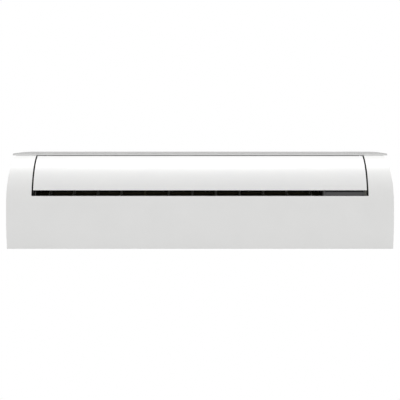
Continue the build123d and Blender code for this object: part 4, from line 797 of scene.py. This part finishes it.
def makeFlap():
    # the panel's section is thin along its length and steps in to a deeper one at both ends
    half, skin, lowZ, highZ = flap["half"], flap["skin"], flap["lowZ"], flap["highZ"]
    inside = half - flap["endWall"]
    lipZ = lowZ + flap["lipRise"]
    thin = flapSection(0.0, skin, lowZ, lipZ, highZ)
    deep = flapSection(0.0, flap["depth"], lowZ, lipZ, highZ)
    stations = [(-half, deep), (-inside, deep)]
    stations += [(x, thin) for x in np.linspace(-inside, inside, flap["stations"])]
    stations += [(inside, deep), (half, deep)]
    makePiece("flapPanel", sectionAlong(stations), ["flap_panel"], edge=flap["edge"], segments=3)


def makeLiner():
    # the inner shell of the flap, with an ear and a pin at each end
    outerDepth, innerDepth = flap["linerSkin"]
    low = flap["lowZ"] + flap["linerRise"]
    section = flapSection(outerDepth, innerDepth, low - flap["linerLip"], low, flap["linerHighZ"])
    half = flap["linerHalf"]
    body = sectionAlong([(x, section) for x in np.linspace(-half, half, flap["stations"])])
    earRadius, earWidth = flap["ear"]
    ends = []
    for side, pinEnd in zip((-1, 1), flap["pinEnds"]):
        earOut = side * half
        ends.append(bar("X", casing["pivot"], earRadius, *sorted((earOut, earOut - side * earWidth)), 36))
        ends.append(bar("X", casing["pivot"], flap["pin"], *sorted((earOut - side * earWidth, pinEnd)), 28))
    makePiece("flapLiner", joined([body, *ends]), ["flap_liner"], edge=0.3)


makeFlap()
makeLiner()
print("flap made")


# ---- receiver block

receiver = {
    "x": (320.8, 427.0), "z": (13.5, 84.0), "rearY": -121.0, "radius": 112.0, "wall": 2.5, "edge": 0.8,
    "windowX": (324.8, 423.0), "windowZ": (15.0, 31.0), "windowWall": 2.0,
    "windowPlay": (0.1, 0.05),       # mm at its ends, degrees above and below
    "button": (404.0, 60.0, 4.2), "guard": 3.0,
    "fillerX": (427.1, 432.0), "fillerZ": (13.6, 31.0),
    "xLines": (345.0, 365.0, 385.0), "zLines": (36.0, 42.0, 48.0, 70.5, 77.0), "bandPoints": 9,
}


def receiverY(z):
    centreY, centreZ = casing["browCentre"]
    return centreY - np.sqrt(receiver["radius"] ** 2 - (z - centreZ) ** 2)


def receiverBand(xRange, zRange, wall, play=0.0):
    # a curved strip level with the block's face, play degrees short of its range above and below
    centre, radius, count = casing["browCentre"], receiver["radius"], receiver["bandPoints"]
    low, high = [browAngle(z, radius) for z in zRange]
    outer = arcPoints(centre, radius, low + play, high - play, count)
    inner = arcPoints(centre, radius - wall, high - play, low + play, count)
    return prism(np.concatenate([outer, inner]), *xRange, "X")


def makeReceiver():
    # a curved face, its flat top and underside, and two sides, open to the rear
    buttonX, buttonZ, buttonRadius = receiver["button"]
    x0, x1 = receiver["x"]
    xLines = sorted({x0, x1, *receiver["windowX"], *receiver["xLines"],
                     *holeLines(buttonX, buttonRadius, receiver["guard"])})
    zLines = sorted({*receiver["z"], *receiver["windowZ"], *receiver["zLines"],
                     *holeLines(buttonZ, buttonRadius, receiver["guard"])})

    def openFace(u, v):
        inWindow = (u > receiver["windowX"][0]) & (u < receiver["windowX"][1])
        return inWindow & (v > receiver["windowZ"][0]) & (v < receiver["windowZ"][1])

    half = holeShare * buttonRadius
    flat, keep = holedSheet(xLines, zLines, lambda u, v: (u, v), openFace,
                            [(buttonX, buttonZ, half, half, buttonRadius)])
    face = np.stack([flat[..., 0], receiverY(flat[..., 1]), flat[..., 1]], -1)
    pieces = [(face.reshape(-1, 3), gridFaces(len(zLines), len(xLines), keep))]
    for z, flip in ((receiver["z"][0], True), (receiver["z"][1], False)):
        y = np.linspace(float(receiverY(np.array(z))), receiver["rearY"], 4)
        u, v = np.meshgrid(xLines, y)
        shelf = np.stack([u, v, np.full(u.shape, z)], -1)
        pieces.append((shelf.reshape(-1, 3), gridFaces(len(y), len(xLines), None, flip)))
    z = np.array(zLines)
    y = np.linspace(receiverY(z), receiver["rearY"], 4, axis=1)
    for x, flip in ((x0, True), (x1, False)):
        side = np.stack([np.full(y.shape, x), y, np.repeat(z[:, None], 4, 1)], -1)
        pieces.append((side.reshape(-1, 3), gridFaces(len(z), 4, None, flip)))
    makePiece("receiverCover", joined(pieces), ["receiver_cover"], wall=receiver["wall"],
              edge=receiver["edge"])

    endPlay, turnPlay = receiver["windowPlay"]
    windowX = (receiver["windowX"][0] + endPlay, receiver["windowX"][1] - endPlay)
    window = receiverBand(windowX, receiver["windowZ"], receiver["windowWall"], turnPlay)
    makePiece("receiverWindow", window, ["receiver_window"], edge=0.3)

    # a dark strip closes the block's gap to the cheek, level with its face
    strip = receiverBand(receiver["fillerX"], receiver["fillerZ"], receiver["wall"])
    makePiece("receiverStrip", strip, ["receiver_cover"], edge=0.3, finish="vane_black")


makeReceiver()
print("receiver block made")


# ---- vanes

vanes = {
    "x": (-392.5, -330.4, -268.3, -206.2, -82.0, -19.9, 42.2, 104.3, 166.4, 228.5, 290.6),
    "pivotY": -146.0, "footZ": 14.0, "height": 66.0, "toe": 44.0, "toeHeight": 3.0, "tail": 20.0,
    "brow": 12.0, "sweep": 20.0, "bend": 0.45, "crownDrop": 12.0, "crownBack": 8.0, "thickness": 1.6,
    "edge": 0.45, "hub": (3.5, 12.0), "pin": 2.5, "pinLow": 9.5, "motorPinLow": 5.0,
    "linkPinY": -132.0, "linkZ": 33.0, "linkPin": 1.5, "notch": (-139.0, 29.5, 36.5), "linkPinHalf": 5.5,
}


def vaneOutline():
    # (Y, Z) round the plate: foot, long toe, a swept front edge that bows back, crown, tail with its notch
    y, z = vanes["pivotY"], vanes["footZ"]
    toeTop = np.array([y - vanes["toe"], z + vanes["toeHeight"]])
    browLow = np.array([y - vanes["brow"], z + vanes["sweep"]])
    bend = np.array([y - vanes["bend"] * vanes["toe"], z + vanes["bend"] * vanes["sweep"]])
    t = np.linspace(0, 1, 9)[1:-1, None]
    sweep = (1 - t) ** 2 * toeTop + 2 * t * (1 - t) * bend + t ** 2 * browLow
    notchY, notchLow, notchHigh = vanes["notch"]
    tailY = y + vanes["tail"]
    return np.concatenate([
        [(tailY, z), (y - vanes["toe"], z), toeTop], sweep, [browLow],
        [(y - vanes["brow"], z + vanes["height"] - vanes["crownDrop"]),
         (y - vanes["brow"] + vanes["crownBack"], z + vanes["height"]), (tailY, z + vanes["height"]),
         (tailY, notchHigh), (notchY, notchHigh), (notchY, notchLow), (tailY, notchLow)],
    ])


def makeVanes():
    outline = vaneOutline()
    hubRadius, hubHeight = vanes["hub"]
    for index, x in enumerate(vanes["x"]):
        pinLow = vanes["motorPinLow"] if index in (0, len(vanes["x"]) - 1) else vanes["pinLow"]
        foot = vanes["footZ"]
        plate = prism(outline, x - vanes["thickness"] / 2, x + vanes["thickness"] / 2, "X")
        hub = bar("Z", (x, vanes["pivotY"]), hubRadius, foot, foot + hubHeight)
        pin = bar("Z", (x, vanes["pivotY"]), vanes["pin"], pinLow, foot)
        linkPin = bar("Z", (x, vanes["linkPinY"]), vanes["linkPin"], vanes["linkZ"] - vanes["linkPinHalf"],
                      vanes["linkZ"] + vanes["linkPinHalf"], 16)
        makePiece(f"vane{index + 1:02d}", joined([plate, hub, pin, linkPin]), [f"vane_{index + 1:02d}"],
                  edge=vanes["edge"], weld=False, sharp=38.0)


makeVanes()
print("vanes made")


# ---- cross-flow fan

fan = {
    "x": (-411.5, 304.0), "axis": (-78.0, 46.0), "radius": 42.0, "blades": 30, "sections": 5,
    "bladeDepth": 10.0, "bladeThickness": 1.2, "lean": 28.0, "camber": 1.6, "disc": 3.0,
    "hub": (9.0, 8.0), "shaft": 4.0, "sectionTurn": 2.4,
    "tipRoom": 0.7, "blunt": 0.05,       # blade tips inside the rims, least share of a blade's thickness
    "seat": 0.2, "discLap": 1.0,         # blades into the discs, discs' rings past the blades
}


def bladeSections(turn):
    # a thin cambered blade: along its chord s from -1 to 1 the middle line bows by camber * (1 - s * s)
    # and the half thickness is that of a rounded strip
    s = np.linspace(-1, 1, 7)
    bow = fan["camber"] * (1 - s ** 2)
    half = fan["bladeThickness"] / 2 * np.sqrt(np.maximum(1 - s ** 6, fan["blunt"]))
    chord = np.concatenate([s, s[::-1]]) * fan["bladeDepth"] / 2
    across = np.concatenate([bow + half, (bow - half)[::-1]])
    lean = math.radians(fan["lean"])
    middle = fan["radius"] - fan["bladeDepth"] / 2 - fan["tipRoom"]
    radial = chord * math.cos(lean) - across * math.sin(lean) + middle
    tangential = chord * math.sin(lean) + across * math.cos(lean)
    return np.stack([fan["axis"][0] + radial * math.cos(turn) - tangential * math.sin(turn),
                     fan["axis"][1] + radial * math.sin(turn) + tangential * math.cos(turn)], 1)


def annulus(centre, inner, outer, start, end, sides=60):
    # a flat ring about an X axis, as a closed section turned round it
    section = np.array([(start, inner), (start, outer), (end, outer), (end, inner)])
    turn = np.arange(sides + 1) * 2 * np.pi / sides
    x = np.repeat(section[:, :1], sides + 1, 1)
    y = centre[0] + section[:, 1:] * np.cos(turn)
    z = centre[1] + section[:, 1:] * np.sin(turn)
    loop = np.concatenate([np.stack([x, y, z], -1), np.stack([x, y, z], -1)[:1]])
    return loop.reshape(-1, 3), gridFaces(5, sides + 1)


def makeFan():
    left, right = fan["x"]
    step = (right - left - fan["disc"]) / fan["sections"]
    pieces = []
    for section in range(fan["sections"]):
        start = left + step * section + fan["disc"] - fan["seat"]
        end = start + step - fan["disc"] + 2 * fan["seat"]
        for blade in range(fan["blades"]):
            turn = 2 * math.pi * blade / fan["blades"] + math.radians(fan["sectionTurn"] * section)
            pieces.append(prism(bladeSections(turn), start, end, "X"))
    for index in range(fan["sections"] + 1):
        start = left + step * index
        ringInner = fan["radius"] - fan["bladeDepth"] - fan["discLap"]
        inner = fan["shaft"] if index in (0, fan["sections"]) else ringInner
        pieces.append(annulus(fan["axis"], inner, fan["radius"], start, start + fan["disc"]))
    hubRadius, hubLength = fan["hub"]
    pieces.append(annulus(fan["axis"], fan["shaft"], hubRadius, left, left + hubLength, 36))
    pieces.append(annulus(fan["axis"], fan["shaft"], hubRadius, right - hubLength, right, 36))
    makePiece("crossFlowFan", joined(pieces), ["fan_rotor"], weld=False, sharp=35.0)


makeFan()
print("fan made")


# ---- coil fins

coil = {
    "x": (-402.0, 292.0), "rear": (-30.0, -3.96), "front": (-177.8, -65.2), "halfDepth": 12.0,
    "pitch": 1.8,        # the real fins stand 1.3 mm apart
    "fin": 0.3,          # and are 0.1 mm thick
}


def slopePoints(line, alongOff):
    # (Y, Z) of points measured along a leaning line and off above it
    rear, front = np.array(line[0]), np.array(line[1])
    length = np.linalg.norm(front - rear)
    along = (front - rear) / length
    off = np.array([along[1], -along[0]])
    if off[1] < 0:
        off = -off
    pairs = np.asarray(alongOff, float)
    return rear + pairs[:, :1] * along + pairs[:, 1:] * off


def makeCoil():
    # each fin is one thin plate, and all of them are copies of it along X
    length = math.dist(coil["rear"], coil["front"])
    half = coil["halfDepth"]
    outline = slopePoints((coil["rear"], coil["front"]),
                          [(0, -half), (length, -half), (length, half), (0, half)])
    points, faces = prism(outline, 0.0, coil["fin"], "X")
    starts = np.arange(coil["x"][0], coil["x"][1] - coil["fin"], coil["pitch"])
    allPoints = (points[None] + np.stack([starts, 0 * starts, 0 * starts], 1)[:, None]).reshape(-1, 3)
    allFaces = [[i + len(points) * k for i in face] for k in range(len(starts)) for face in faces]
    makePiece("coilFins", (allPoints, allFaces), ["coil_fins"], weld=False)


makeCoil()
print("coil made")


# ---- filter nets

net = {
    "spans": {"left": (-415.7, -67.05), "right": (-40.45, 308.2)},
    "rear": (-28.0, -57.0), "front": (-178.6, -119.4),
    "along": (6.3, 156.7), "off": (-2.0, -1.2),
    "pitch": 2.4,        # threads are 1 mm apart on the real net
    "thread": 0.35,
}


def makeNets():
    # two layers of straight threads that cross each other
    line = (net["rear"], net["front"])
    low, high = net["off"]
    middle = (low + high) / 2
    for side, (left, right) in net["spans"].items():
        pieces = []
        for along in np.arange(net["along"][0], net["along"][1] - net["thread"], net["pitch"]):
            outline = slopePoints(line, [(along, low), (along + net["thread"], low),
                                         (along + net["thread"], middle), (along, middle)])
            pieces.append(prism(outline, left, right, "X"))
        for x in np.arange(left, right - net["thread"], net["pitch"]):
            outline = slopePoints(line, [(net["along"][0], middle), (net["along"][1], middle),
                                         (net["along"][1], high), (net["along"][0], high)])
            pieces.append(prism(outline, x, x + net["thread"], "X"))
        makePiece(f"filterNet{side.capitalize()}", joined(pieces), [f"filter_mesh_{side}"], weld=False)


makeNets()
print("filter nets made")


# ---- intake grille

grille = {
    "x": (-418.0, 308.0), "y": (-160.0, -30.0), "z": (-121.5, -117.5), "columns": 6, "rows": 10,
    "slot": 6.0, "bridge": 14.0, "edge": 1.1, "pin": (-34.0, -119.0, 2.0), "pinReach": 7.0, "pinRoot": 1.0,
}


def makeGrille():
    # a flat sheet with rows of slots, given its wall by a modifier, and a pin at each rear corner
    x0, x1 = grille["x"]
    y0, y1 = grille["y"]
    cellX = (x1 - x0 - grille["bridge"]) / grille["columns"]
    cellY = (y1 - y0 - grille["bridge"]) / grille["rows"]
    midX = x0 + grille["bridge"] / 2 + cellX * (np.arange(grille["columns"]) + 0.5)
    midY = y0 + grille["bridge"] / 2 + cellY * (np.arange(grille["rows"]) + 0.5)
    halfX, halfY = (cellX - grille["bridge"]) / 2, grille["slot"] / 2
    xLines = sorted({x0, x1, *(midX - halfX), *(midX + halfX)})
    yLines = sorted({y0, y1, *(midY - halfY), *(midY + halfY)})

    def openCells(u, v):
        inX = (abs(u[..., None] - midX) < halfX).any(-1)
        inY = (abs(v[..., None] - midY) < halfY).any(-1)
        return inX & inY

    flat, keep = holedSheet(xLines, yLines, lambda u, v: (u, v), openCells)
    shape = (atHeight(flat, grille["z"][0]), gridFaces(len(yLines), len(xLines), keep, flip=True))
    makePiece("intakeGrille", shape, ["intake_grille"], wall=grille["z"][1] - grille["z"][0],
              edge=grille["edge"], segments=3)
    pinY, pinZ, pinRadius = grille["pin"]
    reach, root = grille["pinReach"], grille["pinRoot"]
    spans = ((x0 - reach, x0 + root), (x1 - root, x1 + reach))
    pins = [bar("X", (pinY, pinZ), pinRadius, *span) for span in spans]
    makePiece("grillePins", joined(pins), ["intake_grille"], weld=False)


makeGrille()
print("grille made")


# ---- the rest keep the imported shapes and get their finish

def softened(nodeName, edge=0.25):
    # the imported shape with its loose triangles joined, so that round faces look round and edges catch light
    source = frame["nodes"][nodeName]
    build = bmesh.new()
    build.from_mesh(source.data)
    build.transform(source.matrix_world)
    bmesh.ops.remove_doubles(build, verts=build.verts, dist=1e-6)
    bmesh.ops.recalc_face_normals(build, faces=build.faces)
    points = np.array([vertex.co[:] for vertex in build.verts]) * 1000
    faces = [[vertex.index for vertex in face.verts] for face in build.faces]
    build.free()
    words = nodeName.split("_")
    pieceName = words[0] + "".join(word.capitalize() for word in words[1:]) + "Soft"
    makePiece(pieceName, (points, faces), [nodeName], edge=edge, weld=False, sharp=30.0)


for nodeName, node in frame["nodes"].items():
    node.data.materials.clear()
    node.data.materials.append(finishes[slotOf[nodeName]])
    if nodeName not in dressed:
        softened(nodeName)
print("finishes given to", len(frame["nodes"]), "packed pieces")
